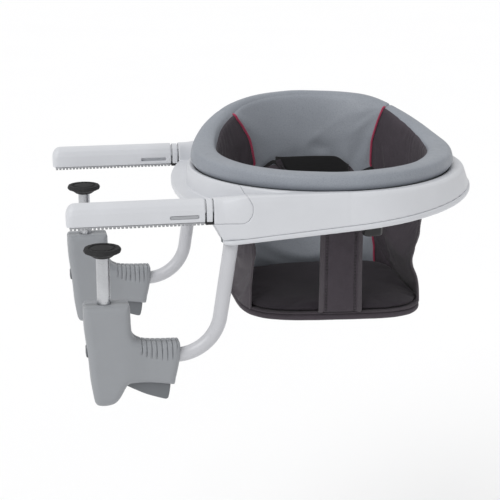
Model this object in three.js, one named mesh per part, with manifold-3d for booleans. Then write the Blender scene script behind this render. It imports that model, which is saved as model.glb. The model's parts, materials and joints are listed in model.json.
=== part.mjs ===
// Hook-on table chair: two arms lie on a tabletop, two clamps press up from below,
// and a round padded seat turns in a white housing just past the table's edge.
// Millimetres. X runs away from the table, Y to the far side, Z up.
// The origin is the tabletop's upper edge, midway between the arms.

import * as THREE from 'three';
import { mergeVertices } from 'three/addons/utils/BufferGeometryUtils.js';
import Module from 'manifold-3d';

const wasm = await Module();
wasm.setup();

// Overall layout
const tableThickness = 25;
const fit = 0.3;
const overrun = 4;

// Arms that lie on the tabletop
const armInset = 20.6;
const armReach = 170;
const armEndGap = 8;
const armWidth = 27;
const armTop = 30.5;
const armTipRound = 13;
const tubeDiameter = 18;
const tubeWall = 1.5;
const armTubeZ = 18.5;
const armTubeReach = 150;
const armTubeInside = 58;
const footTongueWidth = 20;
const footTongueTop = 6.7;
const footWidth = 25;
const toothCount = 34;
const toothHeight = 2.3;
const footSole = 3.1;
const footTipGap = 3.5;
const collarLength = 7;
const collarGap = 2;
const collarStep = 0.9;
const slotLength = 35;
const slotFromEnd = 7;
const slotLow = 8;
const slotHigh = 12.4;
const slotDepth = 3;
const openSlotDepth = 5.6;
const latchLength = 32;
const latchProud = 0.4;

// White ring housing, level on top and shallower beyond the seat
const housingWall = 15.4;
const discNearX = -5;
const discReach = 7.6;
const housingTop = 32.5;
const bottomAtTable = -27.7;
const bottomAtFarEnd = -0.4;
const bandAtTable = 5;
const bandAtFarEnd = 8.6;
const shoulderFar = 13.5;
const shoulderNear = 5;
const housingFront = 3;
const frontSlant = 11;
const tableClear = 2.2;
const ringSteps = 48;

// Front bridge that joins the arms to the ring
const apronFront = 24;
const apronRadius = 464;
const apronTop = 7;
const apronUnder = 0.8;
const apronBevel = 1.2;
const seamX = 48.5;
const seamLow = 0.5;
const seamRound = 15;

// Turntable between housing and seat
const boreRadius = 150;
const boreRelief = 6;
const reliefZ = 10;
const bowlFloorZ = 22;
const bowlFloorWidth = 16;
const bowlFlare = 7.2;
const trackPlate = 1.7;
const trackRibHeight = 2;
const trackRibWidth = 6;
const trackRibInset = 7;
const glideHeight = 1.4;
const seatRingWall = 2.6;
const seatRingGap = 1.4;
const flangeGap = 2;
const seatRingPlate = 2.7;
const retainerGrip = 5;
const retainerPlate = 3;
const hiddenSteps = 32;
const ringFit = 1.2;

// Padded ring and backrest
const padOverhang = 8;
const padRimGap = 0.5;
const padWaistZ = 40;
const padFrontTop = 52.5;
const padBackTop = 102;
const padFrontCrown = 32;
const padBackCrown = 19;
const padCrownInset = 2;
const padLean = 5;
const padFootInset = 7;
const padFootRise = 4;
const seamAngle = 49;
const seamGap = 0.5;
const seamPinch = 1.4;

// Hanging fabric seat
const clothThickness = 3.2;
const clothTopGap = 1;
const clothNeckGap = 4;
const clothNeckZ = -24;
const seatHalfWidth = 120;
const seatFront = 121;
const seatBack = 80;
const seatWaist = 13;
const seatBaseZ = -150;
const seatRim = 11;
const seatCrown = 9;
const cushionTop = -124;
const cushionInset = 10;
const foldDepth = 2.2;
const foldCount = 5;
const strapWidth = 55;
const liningDrop = 9;
const pipingWidth = 3.4;
const pipingTurn = 2.6;
const backNip = 0.25;
const clothSeamShare = 0.4;
const panelGapAngle = 0.3;
const frontEdgeAngle = 128;
const beltWidth = 42;
const beltThickness = 2.4;
const beltTop = 22;
const beltShift = 8;
const beltHalfSpan = 47;
const beltBulge = 26;

// Legs that carry the clamps under the table
const legX = 28;
const legLeanAngle = 8.7;
const legBend = 55;
const legRunZ = -166;
const legReachX = -96;
const legTopZ = 4.7;
const legKneeZ = -27;
const bushWall = 3.4;
const bushFlange = 1.6;
const clipHeight = 2.4;
const tubeSides = 12;
const boreSides = 16;

// Clamp body, two half shells around the rod and the leg tube
const rodX = -128;
const rodDiameter = 16;
const rodBottomZ = -193;
const rodBoreFloor = 3;
const padDiameter = 46;
const padHeight = 11.6;
const columnTopZ = -95;
const columnBottomZ = -224.6;
const columnThickness = 38;
const columnRound = 9;
const gripThickness = 31;
const gripTopZ = -145.5;
const gripBottomZ = -200;
const gripEndX = -39;
const gripRound = 10;
const ribCount = 8;
const ribPitch = 5.6;
const ribDepth = 1.1;
const ribLowZ = -178;
const shellGap = 0.3;

// Trigger, jamming plate and release button in the clamp
const pivotX = -103;
const pivotZ = -194.5;
const pivotDiameter = 5;
const triggerThickness = 15;
const triggerDrop = 18.5;
const triggerEndX = -51;
const plateThickness = 3;
const plateZ = -187;
const plateLeftX = -143;
const plateRightX = -92.5;
const plateWidth = 24;
const plateHoleSlack = 1.1;
const springWire = 1.4;
const springTurns = 4;
const springPocketTop = -170;
const buttonZ = -154.5;
const buttonHeight = 14;
const buttonWidth = 13;
const buttonStem = 12;
const buttonProud = 1.3;
const buttonTravel = 3;
const rodEdge = 0.8;

// Seat rotation lock under the near side of the housing
const lockAngle = -79;
const lockWidth = 24;
const lockDepth = 13;
const lockDrop = 15;
const lockStemWidth = 12;
const lockStemDepth = 5;
const lockTravel = 5;
const lockToothGap = 0.8;

// Radii from the turntable's bore outward to the housing, and inward to the seat
const trackRibRadius = boreRadius + trackRibInset;
const bowlFloorRadius = boreRadius + bowlFloorWidth;
const bowlRimRadius = bowlFloorRadius + bowlFlare;
const discRadius = bowlRimRadius + housingWall;
const seatRingInner = boreRadius - seatRingWall - seatRingGap;
const seatRingFlange = bowlFloorRadius - flangeGap;
const retainerReach = boreRadius + retainerGrip;
const padInner = seatRingInner - padOverhang;
const padOuter = bowlRimRadius - padRimGap;
const clothTopRadius = padInner - clothTopGap;
const clothNeckRadius = seatRingInner - clothNeckGap;

// Values that follow from the sizes above
const seatX = discRadius + discNearX - discReach;
const armY = discRadius - armInset;
const armSpread = armY * 2;
const armHalf = armWidth / 2;
const tubeRadius = tubeDiameter / 2;
const tableUnderZ = -tableThickness;
const housingFarX = seatX + discRadius + discReach;
const rodRadius = rodDiameter / 2;
const padTopZ = tableUnderZ - fit;
const padBottomZ = padTopZ - padHeight;
const fullTurn = 360;
const degree = (Math.PI * 2) / fullTurn;
const lockX = seatX + (boreRadius + boreRelief) * Math.cos(lockAngle * degree);

// Colours are those of the photographed materials
const colours = {
  white: { color: 0xd9dbe0, roughness: 0.42, metalness: 0 },
  foot: { color: 0xc9cace, roughness: 0.7, metalness: 0 },
  steel: { color: 0xd6d7dc, roughness: 0.35, metalness: 0.2 },
  clamp: { color: 0x9c9fa2, roughness: 0.5, metalness: 0 },
  trigger: { color: 0x6b7074, roughness: 0.5, metalness: 0 },
  rubber: { color: 0x1d1d1f, roughness: 0.85, metalness: 0 },
  metal: { color: 0xa7a9ad, roughness: 0.3, metalness: 0.9 },
  leatherette: { color: 0x8f949a, roughness: 0.55, metalness: 0 },
  fabric: { color: 0x40393f, roughness: 0.95, metalness: 0 },
  piping: { color: 0xaa3350, roughness: 0.8, metalness: 0 },
  webbing: { color: 0x151515, roughness: 0.9, metalness: 0 },
};

const chair = new THREE.Group();

function add(name, geometry, look) {
  geometry.computeVertexNormals();
  const mesh = new THREE.Mesh(geometry, new THREE.MeshStandardMaterial(colours[look]));
  mesh.name = name;
  chair.add(mesh);
}

// Solids from point rings

function meshOf(points, triangles) {
  const geometry = new THREE.BufferGeometry();
  geometry.setAttribute('position', new THREE.Float32BufferAttribute(points.flat(), 3));
  geometry.setIndex(triangles);
  return geometry;
}

// Rings of equal count joined one to the next, with a fan about the middle of each end ring
function loft(rings) {
  const count = rings[0].length;
  const points = rings.flat();
  const triangles = [];
  const last = (rings.length - 1) * count;
  for (let row = 0; row < last; row += count) {
    for (let i = 0; i < count; i += 1) {
      const j = (i + 1) % count;
      const a = row + i;
      const b = row + j;
      triangles.push(a, b, b + count, a, b + count, a + count);
    }
  }
  const foot = points.length;
  points.push(middle(rings[0]), middle(rings[rings.length - 1]));
  for (let i = 0; i < count; i += 1) {
    const j = (i + 1) % count;
    triangles.push(foot, j, i);
    triangles.push(foot + 1, last + i, last + j);
  }
  return facingOut(meshOf(points, triangles));
}

function middle(ring) {
  const sum = [0, 0, 0];
  ring.forEach((p) => p.forEach((value, axis) => {
    sum[axis] += value / ring.length;
  }));
  return sum;
}

function signedVolume(geometry) {
  const at = geometry.attributes.position;
  const index = geometry.index.array;
  const a = new THREE.Vector3();
  const b = new THREE.Vector3();
  const c = new THREE.Vector3();
  let volume = 0;
  for (let i = 0; i < index.length; i += 3) {
    a.fromBufferAttribute(at, index[i]);
    b.fromBufferAttribute(at, index[i + 1]);
    c.fromBufferAttribute(at, index[i + 2]);
    volume += a.dot(b.cross(c)) / 6;
  }
  return volume;
}

function flipped(geometry) {
  const index = geometry.index.array;
  const turned = [];
  for (let i = 0; i < index.length; i += 3) turned.push(index[i], index[i + 2], index[i + 1]);
  geometry.setIndex(turned);
  return geometry;
}

function facingOut(geometry) {
  return signedVolume(geometry) < 0 ? flipped(geometry) : geometry;
}

function welded(geometry) {
  const plain = geometry.clone();
  plain.deleteAttribute('normal');
  plain.deleteAttribute('uv');
  return mergeVertices(plain, 1e-4);
}

function solid(geometry) {
  const merged = welded(geometry);
  return new wasm.Manifold(new wasm.Mesh({
    numProp: 3,
    vertProperties: new Float32Array(merged.attributes.position.array),
    triVerts: new Uint32Array(merged.index.array),
  }));
}

function geometryOf(shape) {
  const mesh = shape.getMesh();
  const geometry = new THREE.BufferGeometry();
  const points = new Float32Array(mesh.vertProperties);
  geometry.setAttribute('position', new THREE.BufferAttribute(points, 3));
  geometry.setIndex(Array.from(mesh.triVerts));
  return geometry;
}

// Turned shape about a vertical axis through (x, y)
function turned(profile, steps, x = 0, y = 0) {
  const outline = profile.map(([r, z]) => new THREE.Vector2(r, z));
  outline.push(outline[0].clone());
  const geometry = new THREE.LatheGeometry(outline, steps);
  geometry.rotateX(Math.PI / 2);
  geometry.translate(x, y, 0);
  return facingOut(welded(geometry));
}

// Turned shape that closes on its axis
function turnedCore(profile, steps, x = 0, y = 0) {
  const outline = profile.map(([r, z]) => new THREE.Vector2(r, z));
  const geometry = new THREE.LatheGeometry(outline, steps);
  geometry.rotateX(Math.PI / 2);
  geometry.translate(x, y, 0);
  return facingOut(welded(geometry));
}

function post(radius, low, high, steps, x = 0, y = 0) {
  return turnedCore([[0, low], [radius, low], [radius, high], [0, high]], steps, x, y);
}

// Round bar along X
function barAlongX(radius, from, to, steps, y, z) {
  const geometry = new THREE.CylinderGeometry(radius, radius, to - from, steps);
  geometry.rotateZ(Math.PI / 2);
  geometry.translate((from + to) / 2, y, z);
  return facingOut(welded(geometry));
}

// Round bar along Y
function barAlongY(radius, from, to, steps, x, z) {
  const geometry = new THREE.CylinderGeometry(radius, radius, to - from, steps);
  geometry.translate(0, (from + to) / 2, 0);
  geometry.translate(x, 0, z);
  return facingOut(welded(geometry));
}

function block(x0, x1, y0, y1, z0, z1) {
  const geometry = new THREE.BoxGeometry(x1 - x0, y1 - y0, z1 - z0);
  geometry.translate((x0 + x1) / 2, (y0 + y1) / 2, (z0 + z1) / 2);
  return facingOut(welded(geometry));
}

// Outline in X and Z pushed along Y from y0 to y1
function sidePlate(outline, y0, y1, bevel = 0) {
  const shape = new THREE.Shape(outline.map(([x, z]) => new THREE.Vector2(x, z)));
  const geometry = new THREE.ExtrudeGeometry(shape, {
    depth: y1 - y0 - bevel * 2,
    bevelEnabled: bevel > 0,
    bevelThickness: bevel,
    bevelSize: bevel,
    bevelOffset: -bevel,
    bevelSegments: 2,
  });
  geometry.rotateX(Math.PI / 2);
  geometry.translate(0, y1 - bevel, 0);
  return facingOut(welded(geometry));
}

// Outline in X and Y raised from z0 to z1
function plan(outline, z0, z1, bevel = 0) {
  const shape = new THREE.Shape(outline.map(([x, y]) => new THREE.Vector2(x, y)));
  const geometry = new THREE.ExtrudeGeometry(shape, {
    depth: z1 - z0 - bevel * 2,
    bevelEnabled: bevel > 0,
    bevelThickness: bevel,
    bevelSize: bevel,
    bevelOffset: -bevel,
    bevelSegments: 2,
  });
  geometry.translate(0, 0, z0 + bevel);
  return facingOut(welded(geometry));
}

// Tube of round section along a path in a plane of constant Y
function tubeAlong(path, radius, sides) {
  const rings = path.map(([x, z], i) => {
    const before = path[Math.max(i - 1, 0)];
    const after = path[Math.min(i + 1, path.length - 1)];
    const slope = Math.atan2(after[1] - before[1], after[0] - before[0]);
    const ring = [];
    for (let k = 0; k < sides; k += 1) {
      const turn = (k / sides) * Math.PI * 2;
      const out = Math.cos(turn) * radius;
      ring.push([x - Math.sin(slope) * out, Math.sin(turn) * radius, z + Math.cos(slope) * out]);
    }
    return ring;
  });
  return loft(rings);
}

// A part drawn for the near arm, with its outer side toward -Y, set at either arm
function placed(geometry, side) {
  const set = welded(geometry);
  if (side === 'far') {
    set.scale(1, -1, 1);
    flipped(set);
    set.translate(0, armY, 0);
    return set;
  }
  set.translate(0, -armY, 0);
  return set;
}

function mix(a, b, share) {
  return a + (b - a) * share;
}

function smooth(share) {
  const t = Math.min(Math.max(share, 0), 1);
  return t * t * (3 - 2 * t);
}

// The housing's lower edge and the band above it both rise away from the table
function alongHousing(x) {
  return (x - discNearX) / (housingFarX - discNearX);
}

function bottomZ(x) {
  return mix(bottomAtTable, bottomAtFarEnd, alongHousing(x));
}

function bandZ(x) {
  return bottomZ(x) + mix(bandAtTable, bandAtFarEnd, alongHousing(x));
}

function planRadius(angle) {
  return discRadius + discReach * Math.cos(angle);
}

function shoulder(angle) {
  return mix(shoulderNear, shoulderFar, ((1 + Math.cos(angle)) / 2) ** 1.5);
}

// Wall of the housing as shares of the shoulder's inset and of the wall's height
const wallShares = [[0.12, 0], [0.27, 0.26], [0.6, 0.8], [0.76, 0.92], [1, 1]];

function discBody() {
  const rings = wallShares.map(([insetShare, heightShare]) => {
    const ring = [];
    for (let i = 0; i < ringSteps; i += 1) {
      const angle = (i / ringSteps) * Math.PI * 2;
      const radius = planRadius(angle) - insetShare * shoulder(angle);
      const x = seatX + radius * Math.cos(angle);
      const z = mix(bandZ(x) + fit, housingTop, heightShare);
      ring.push([x, radius * Math.sin(angle), z]);
    }
    return ring;
  });
  return solid(loft(rings));
}

// Section of an arm as shares of its half width and height, from the outer foot over the top
const armShares = [
  [-0.97, 0], [-1, 0.3], [-0.985, 0.56], [-0.82, 0.8], [-0.5, 0.95], [0, 1],
  [0.5, 0.95], [0.82, 0.8], [0.985, 0.56], [1, 0.3], [0.97, 0],
];

function armSection(x, half, low, high) {
  return armShares.map(([sideShare, heightShare]) => [
    x, sideShare * half, mix(low, high, heightShare),
  ]);
}

// Side bar from the arm's section into the housing wall, drawn for the near side
function barBody() {
  const wallY = discRadius - armY;
  const slantShares = [0, 0.35, 1, 2.2, 4.2, 8, 15];
  const rings = slantShares.map((count) => {
    const x = housingFront + count * frontSlant;
    const turn = smooth((x - housingFront) / (seamX - housingFront));
    const foot = mix(seamLow, bandZ(x) + fit, Math.min(count, 1));
    const top = mix(armTop, housingTop, turn);
    return armShares.map(([sideShare, heightShare], i) => {
      const arm = [sideShare * armHalf, mix(foot, armTop, heightShare)];
      if (i > 5) {
        return [x, arm[0], mix(foot, top, heightShare)];
      }
      const wall = wallShares[Math.min(i, wallShares.length - 1)];
      const reach = i === 5 ? 0 : -(wallY - wall[0] * shoulder(Math.PI / 2));
      const height = i === 5 ? 1 : wall[1];
      return [x, mix(arm[0], reach, turn), mix(arm[1], mix(foot, top, height), turn)];
    });
  });
  return loft(rings);
}

function tubBody() {
  const backX = seatX / 2;
  const high = apronUnder + apronBevel;
  const low = bandZ(housingFront + frontSlant) + fit;
  return solid(sidePlate([
    [housingFront, high], [housingFront, seamLow], [housingFront + frontSlant, low],
    [backX, bandZ(backX) + fit], [backX, high],
  ], -armY, armY));
}

function apronBody() {
  const halfSpan = armY - armHalf + fit;
  const backX = seatX / 2;
  const outline = [[backX, -halfSpan], [backX, halfSpan]];
  const arcSteps = 12;
  for (let i = 0; i <= arcSteps; i += 1) {
    const y = mix(halfSpan, -halfSpan, i / arcSteps);
    const sag = apronRadius - Math.sqrt(apronRadius * apronRadius - y * y);
    outline.push([sag - apronFront, y]);
  }
  return solid(plan(outline, apronUnder, apronTop, apronBevel));
}

// Everything in the prism belongs to the front bridge, and the rest to the ring housing
function bridgeRegion(grow) {
  const rightX = seamX + grow;
  const low = seamLow - grow;
  const left = -apronFront - armReach;
  const far = armTop * 3;
  const cornerSteps = 4;
  const outline = [[left, far], [left, low]];
  for (let i = 0; i <= cornerSteps; i += 1) {
    const turn = (i / cornerSteps) * (Math.PI / 2);
    outline.push([
      rightX - seamRound + Math.sin(turn) * seamRound,
      low + seamRound - Math.cos(turn) * seamRound,
    ]);
  }
  outline.push([rightX, low + seamRound * 1.4]);
  outline.push([rightX - seamRound / 2, low + seamRound * 2.2]);
  outline.push([rightX - seamRound / 2, far]);
  return solid(sidePlate(outline, -armSpread, armSpread));
}

function bowl() {
  const deep = bottomAtTable * 3;
  const high = padBackTop;
  const rise = housingTop - bowlFloorZ;
  const flare = bowlRimRadius - bowlFloorRadius;
  return solid(turnedCore([
    [0, deep], [boreRadius + boreRelief, deep], [boreRadius + boreRelief, reliefZ],
    [boreRadius, reliefZ], [boreRadius, bowlFloorZ], [bowlFloorRadius, bowlFloorZ],
    [bowlFloorRadius + flare * 0.08, bowlFloorZ + rise * 0.5],
    [bowlFloorRadius + flare * 0.42, bowlFloorZ + rise * 0.84],
    [bowlRimRadius, housingTop], [bowlRimRadius, high], [0, high],
  ], ringSteps, seatX));
}

function tableSpace() {
  return solid(block(
    -armReach - armSpread, tableClear, -armSpread, armSpread,
    bottomAtTable * 3, apronUnder,
  ));
}

const lockRadius = boreRadius + boreRelief + lockDepth;

function lockTurned(geometry) {
  geometry.rotateZ(lockAngle * degree);
  geometry.translate(seatX, 0, 0);
  return geometry;
}

// Slot that the lock's stem slides in, drawn along X and turned to its place
function lockSlot() {
  const half = lockStemWidth / 2 + fit * 2;
  return solid(lockTurned(block(
    boreRadius, lockRadius + lockTravel,
    -half, half, bottomAtTable, reliefZ + retainerPlate / 2,
  )));
}

function sideSolids(make) {
  return ['near', 'far'].map((side) => solid(placed(make(), side)));
}

function joined(shapes) {
  return shapes.reduce((sum, shape) => sum.add(shape));
}

function cutBy(body, cutters) {
  return cutters.reduce((rest, cutter) => rest.subtract(cutter), body);
}

function armBore() {
  return barAlongX(
    tubeRadius + fit, -armReach, armTubeInside + fit, boreSides, 0, armTubeZ,
  );
}

function legHole() {
  const radius = tubeRadius + bushWall + fit;
  return post(radius, bottomAtTable * 2, legTopZ - bushFlange + fit, boreSides, legX);
}

function legHead() {
  const radius = tubeRadius + bushWall + bushFlange + fit;
  return post(radius, legTopZ - bushFlange, legTopZ + clipHeight + fit * 3, boreSides, legX);
}

const shellWhole = cutBy(
  joined([discBody(), ...sideSolids(barBody), tubBody()]),
  [tableSpace()],
).add(apronBody());

const shellCut = cutBy(shellWhole, [
  bowl(),
  ...sideSolids(armBore),
  ...sideSolids(legHole),
  ...sideSolids(legHead),
  lockSlot(),
]);

add('ring_housing', geometryOf(shellCut.subtract(bridgeRegion(fit))), 'white');
add('front_bridge', geometryOf(shellCut.intersect(bridgeRegion(0))), 'white');

// Lower rim and floor of the housing, a tray under the ring

function tombstone(insetShare, heightShare) {
  const ring = [];
  const arcSteps = 36;
  for (let i = 0; i <= arcSteps; i += 1) {
    const angle = mix(-Math.PI / 2, Math.PI / 2, i / arcSteps);
    const radius = planRadius(angle) - insetShare * shoulder(angle);
    ring.push([seatX + radius * Math.cos(angle), radius * Math.sin(angle)]);
  }
  const inset = insetShare * shoulder(Math.PI / 2);
  const half = discRadius - inset;
  const front = housingFront + frontSlant + inset;
  const corner = frontSlant;
  const cornerSteps = 4;
  for (const sign of [1, -1]) {
    for (let i = 0; i <= cornerSteps; i += 1) {
      const share = sign > 0 ? i / cornerSteps : 1 - i / cornerSteps;
      const turn = (share * Math.PI) / 2;
      ring.push([
        front + corner - Math.sin(turn) * corner,
        sign * (half - corner + Math.cos(turn) * corner),
      ]);
    }
  }
  return ring.map(([x, y]) => [x, y, mix(bottomZ(x), bandZ(x), heightShare)]);
}

const rimShares = [[0.2, 0], [0.04, 0.3], [0, 0.55], [0, 1]];
const rimBody = solid(loft(
  rimShares.map(([insetShare, heightShare]) => (
    tombstone(insetShare, heightShare)
  )),
));
add('housing_base', geometryOf(cutBy(rimBody, [
  bowl(), ...sideSolids(legHole), lockSlot(),
])), 'white');

// Turntable rings

const trackTopZ = bowlFloorZ + fit + trackPlate + trackRibHeight;
const glideTopZ = trackTopZ + fit + glideHeight;
const flangeZ = glideTopZ + fit;
const skirtZ = reliefZ - fit;

add('seat_track', turned([
  [boreRadius + fit, bowlFloorZ + fit],
  [bowlFloorRadius - ringFit, bowlFloorZ + fit],
  [bowlFloorRadius - ringFit, bowlFloorZ + fit + trackPlate],
  [trackRibRadius + trackRibWidth / 2, bowlFloorZ + fit + trackPlate],
  [trackRibRadius + trackRibWidth / 2, trackTopZ],
  [trackRibRadius - trackRibWidth / 2, trackTopZ],
  [trackRibRadius - trackRibWidth / 2, bowlFloorZ + fit + trackPlate],
  [boreRadius + fit, bowlFloorZ + fit + trackPlate],
], hiddenSteps, seatX), 'clamp');

add('glide_ring', turned([
  [trackRibRadius - trackRibWidth / 2, trackTopZ + fit],
  [trackRibRadius + trackRibWidth / 2, trackTopZ + fit],
  [trackRibRadius + trackRibWidth / 2, glideTopZ],
  [trackRibRadius - trackRibWidth / 2, glideTopZ],
], hiddenSteps, seatX), 'trigger');

add('seat_ring', turned([
  [seatRingInner, skirtZ],
  [seatRingInner + seatRingWall, skirtZ],
  [seatRingInner + seatRingWall, flangeZ],
  [seatRingFlange, flangeZ],
  [seatRingFlange, flangeZ + seatRingPlate],
  [seatRingInner, flangeZ + seatRingPlate],
], hiddenSteps, seatX), 'trigger');

add('retaining_ring', turned([
  [seatRingInner, skirtZ - fit - retainerPlate],
  [retainerReach, skirtZ - fit - retainerPlate],
  [retainerReach, skirtZ - fit],
  [seatRingInner, skirtZ - fit],
], hiddenSteps, seatX), 'trigger');

// Rotation lock: a finger tab below the floor, a stem through it and a tooth by the ring

function rotationLock() {
  const tabTop = bottomZ(lockX) - fit * 3;
  const half = lockWidth / 2;
  const corner = lockDepth / 3;
  const tab = solid(plan([
    [boreRadius + boreRelief + fit, -half], [lockRadius - corner, -half],
    [lockRadius, -half + corner], [lockRadius, half - corner],
    [lockRadius - corner, half], [boreRadius + boreRelief + fit, half],
  ], tabTop - lockDrop, tabTop, lockDepth / 6));
  const stem = solid(block(
    boreRadius + boreRelief + lockStemDepth, lockRadius - lockStemDepth / 2,
    -lockStemWidth / 2, lockStemWidth / 2, tabTop - lockStemDepth, reliefZ,
  ));
  const tooth = solid(block(
    retainerReach + lockToothGap, lockRadius - lockStemDepth,
    -lockStemWidth / 2, lockStemWidth / 2,
    skirtZ - fit - retainerPlate, reliefZ,
  ));
  return lockTurned(geometryOf(tab.add(stem).add(tooth)));
}
add('rotation_lock', rotationLock(), 'rubber');

// Arms

function armStations(reach, end) {
  const tipShares = [
    [0, 0.6, 0.72], [0.08, 0.78, 0.85], [0.25, 0.91, 0.945], [0.55, 0.98, 0.99], [1, 1, 1],
  ];
  const rings = tipShares.map(([along, wide, tall]) => (
    { x: -reach + along * armTipRound, wide, tall }
  ));
  rings.push({ x: end, wide: 1, tall: 1 });
  return rings;
}

function armShell() {
  const low = footSole + fit;
  const body = solid(loft(armStations(armReach, -armEndGap).map(({ x, wide, tall }) => (
    armSection(x, armHalf * wide, low, low + (armTop - low) * tall)
  ))));
  const channel = solid(block(
    -armReach + footTipGap, 0, -footTongueWidth / 2 - fit, footTongueWidth / 2 + fit,
    0, footTongueTop + fit,
  ));
  const bore = solid(barAlongX(
    tubeRadius + fit, -armTubeReach - fit, 0, boreSides, 0, armTubeZ,
  ));
  const slotEnd = -armEndGap - slotFromEnd;
  const outerSlot = solid(block(
    slotEnd - slotLength, slotEnd, -armWidth, -armHalf + slotDepth, slotLow, slotHigh,
  ));
  const innerSlot = solid(block(
    slotEnd - slotLength, slotEnd, armHalf - openSlotDepth, armWidth, slotLow, slotHigh,
  ));
  return geometryOf(cutBy(body, [channel, bore, outerSlot, innerSlot]));
}

function armLatch() {
  const slotEnd = -armEndGap - slotFromEnd;
  const left = slotEnd - slotLength + fit;
  const bevel = latchProud;
  return sidePlate([
    [left, slotLow + fit], [left + latchLength, slotLow + fit],
    [left + latchLength, slotHigh - fit], [left, slotHigh - fit],
  ], -armHalf - latchProud, -armHalf + slotDepth - fit, bevel);
}

function armFoot() {
  const start = -armReach + footTipGap + fit;
  const end = -armEndGap - fit;
  const pitch = (end - start) / toothCount;
  const landShare = 0.55;
  const rootShare = 0.35;
  const outline = [[end, footSole], [start, footSole]];
  for (let i = 0; i < toothCount; i += 1) {
    const x = start + i * pitch;
    outline.push([x, 0], [x + pitch * landShare, 0]);
    if (i < toothCount - 1) {
      outline.push([x + pitch * (landShare + (1 - landShare) / 4), toothHeight]);
      outline.push([x + pitch * (1 - rootShare / 4), toothHeight]);
    }
  }
  outline.push([end, toothHeight]);
  const sole = solid(sidePlate(outline, -footWidth / 2, footWidth / 2));
  const tongue = solid(block(
    start, end, -footTongueWidth / 2, footTongueWidth / 2,
    (footSole + toothHeight) / 2, footTongueTop,
  ));
  return geometryOf(sole.add(tongue));
}

function armTube() {
  const rodSolid = solid(barAlongX(
    tubeRadius, -armTubeReach, armTubeInside, tubeSides, 0, armTubeZ,
  ));
  const bore = solid(barAlongX(
    tubeRadius - tubeWall, -armTubeReach - overrun, armTubeInside + overrun,
    tubeSides, 0, armTubeZ,
  ));
  return geometryOf(rodSolid.subtract(bore));
}

function armCollar() {
  const start = -armEndGap + collarGap;
  const half = armHalf - collarStep;
  const body = solid(loft([start, start + collarLength].map((x) => (
    armSection(x, half, footSole + fit, armTop - collarStep)
  ))));
  return geometryOf(body.subtract(solid(armBore())));
}

function edgePad() {
  const start = -armEndGap + fit;
  return sidePlate([
    [start, 0], [housingFront - fit, 0], [housingFront - fit, footSole], [start, footSole],
  ], -footWidth / 2, footWidth / 2);
}

// Legs

const legKnee = [legX, legKneeZ];
const leanAngle = legLeanAngle * degree;
const bendZ = legRunZ + legBend;
const legDrop = (legKneeZ - bendZ + legBend * Math.sin(leanAngle)) / Math.cos(leanAngle);
const bendX = legX - legDrop * Math.sin(leanAngle) - legBend * Math.cos(leanAngle);

function legPath(extra) {
  const path = [[legX, legTopZ + extra], [legX, legKneeZ + tubeRadius / 2]];
  const kneeShare = tubeRadius / 2 / legDrop;
  const bendStart = [
    bendX + legBend * Math.cos(leanAngle), bendZ - legBend * Math.sin(leanAngle),
  ];
  path.push([
    mix(legKnee[0], bendStart[0], kneeShare), mix(legKnee[1], bendStart[1], kneeShare),
  ]);
  const bendSteps = 6;
  for (let i = 0; i <= bendSteps; i += 1) {
    const angle = mix(-leanAngle, -Math.PI / 2, i / bendSteps);
    path.push([bendX + legBend * Math.cos(angle), bendZ + legBend * Math.sin(angle)]);
  }
  path.push([legReachX - extra, legRunZ]);
  return path;
}

function legTube() {
  const outer = solid(tubeAlong(legPath(0), tubeRadius, tubeSides));
  const inner = solid(tubeAlong(legPath(overrun), tubeRadius - tubeWall, tubeSides));
  return geometryOf(outer.subtract(inner));
}

function legBush() {
  const inner = tubeRadius + fit;
  const outer = tubeRadius + bushWall;
  const flange = outer + bushFlange;
  const low = bottomZ(legX) + fit * 2;
  const high = legTopZ - fit;
  return turned([
    [inner, low], [outer, low], [outer, high - bushFlange + fit],
    [flange, high - bushFlange + fit], [flange, high], [inner, high],
  ], boreSides, legX);
}

function legClip() {
  const radius = tubeRadius + bushWall;
  return post(radius, legTopZ + fit, legTopZ + fit + clipHeight, tubeSides, legX);
}

// Clamp body as left and right outlines of the column over its height:
// shares of its height, of its width twice and of its thickness
const columnShares = [
  [0, 0.012, 1, 1], [0.03, 0, 1.01, 1], [0.3, 0.013, 1, 1], [0.42, 0.035, 0.99, 1],
  [0.52, 0.07, 0.975, 1], [0.69, 0.13, 0.95, 0.99], [0.8, 0.175, 0.9, 0.97],
  [0.92, 0.235, 0.765, 0.93], [0.975, 0.275, 0.7, 0.86], [1, 0.36, 0.6, 0.72],
];
const columnLeftX = -158.6;
const columnRightX = -97.6;

function roundedSection(halfA, halfB, radius, steps) {
  const ring = [];
  const corners = [[1, 1, 0], [-1, 1, 1], [-1, -1, 2], [1, -1, 3]];
  corners.forEach(([signA, signB, quarter]) => {
    for (let i = 0; i <= steps; i += 1) {
      const turn = (quarter + i / steps) * (Math.PI / 2);
      ring.push([
        signA * (halfA - radius) + Math.cos(turn) * radius,
        signB * (halfB - radius) + Math.sin(turn) * radius,
      ]);
    }
  });
  return ring;
}

function columnBody() {
  const width = columnRightX - columnLeftX;
  const rings = columnShares.map(([downShare, leftShare, rightShare, thickShare]) => {
    const left = columnLeftX + leftShare * width;
    const right = columnLeftX + rightShare * width;
    const half = (columnThickness / 2) * thickShare;
    const radius = Math.min(columnRound, half * 0.7, (right - left) / 2.6);
    const z = mix(columnTopZ, columnBottomZ, downShare);
    const middleX = (left + right) / 2;
    const ring = roundedSection((right - left) / 2, half, radius, 3);
    return ring.map(([a, b]) => [middleX + a, b, z]);
  });
  return solid(loft(rings));
}

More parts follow.
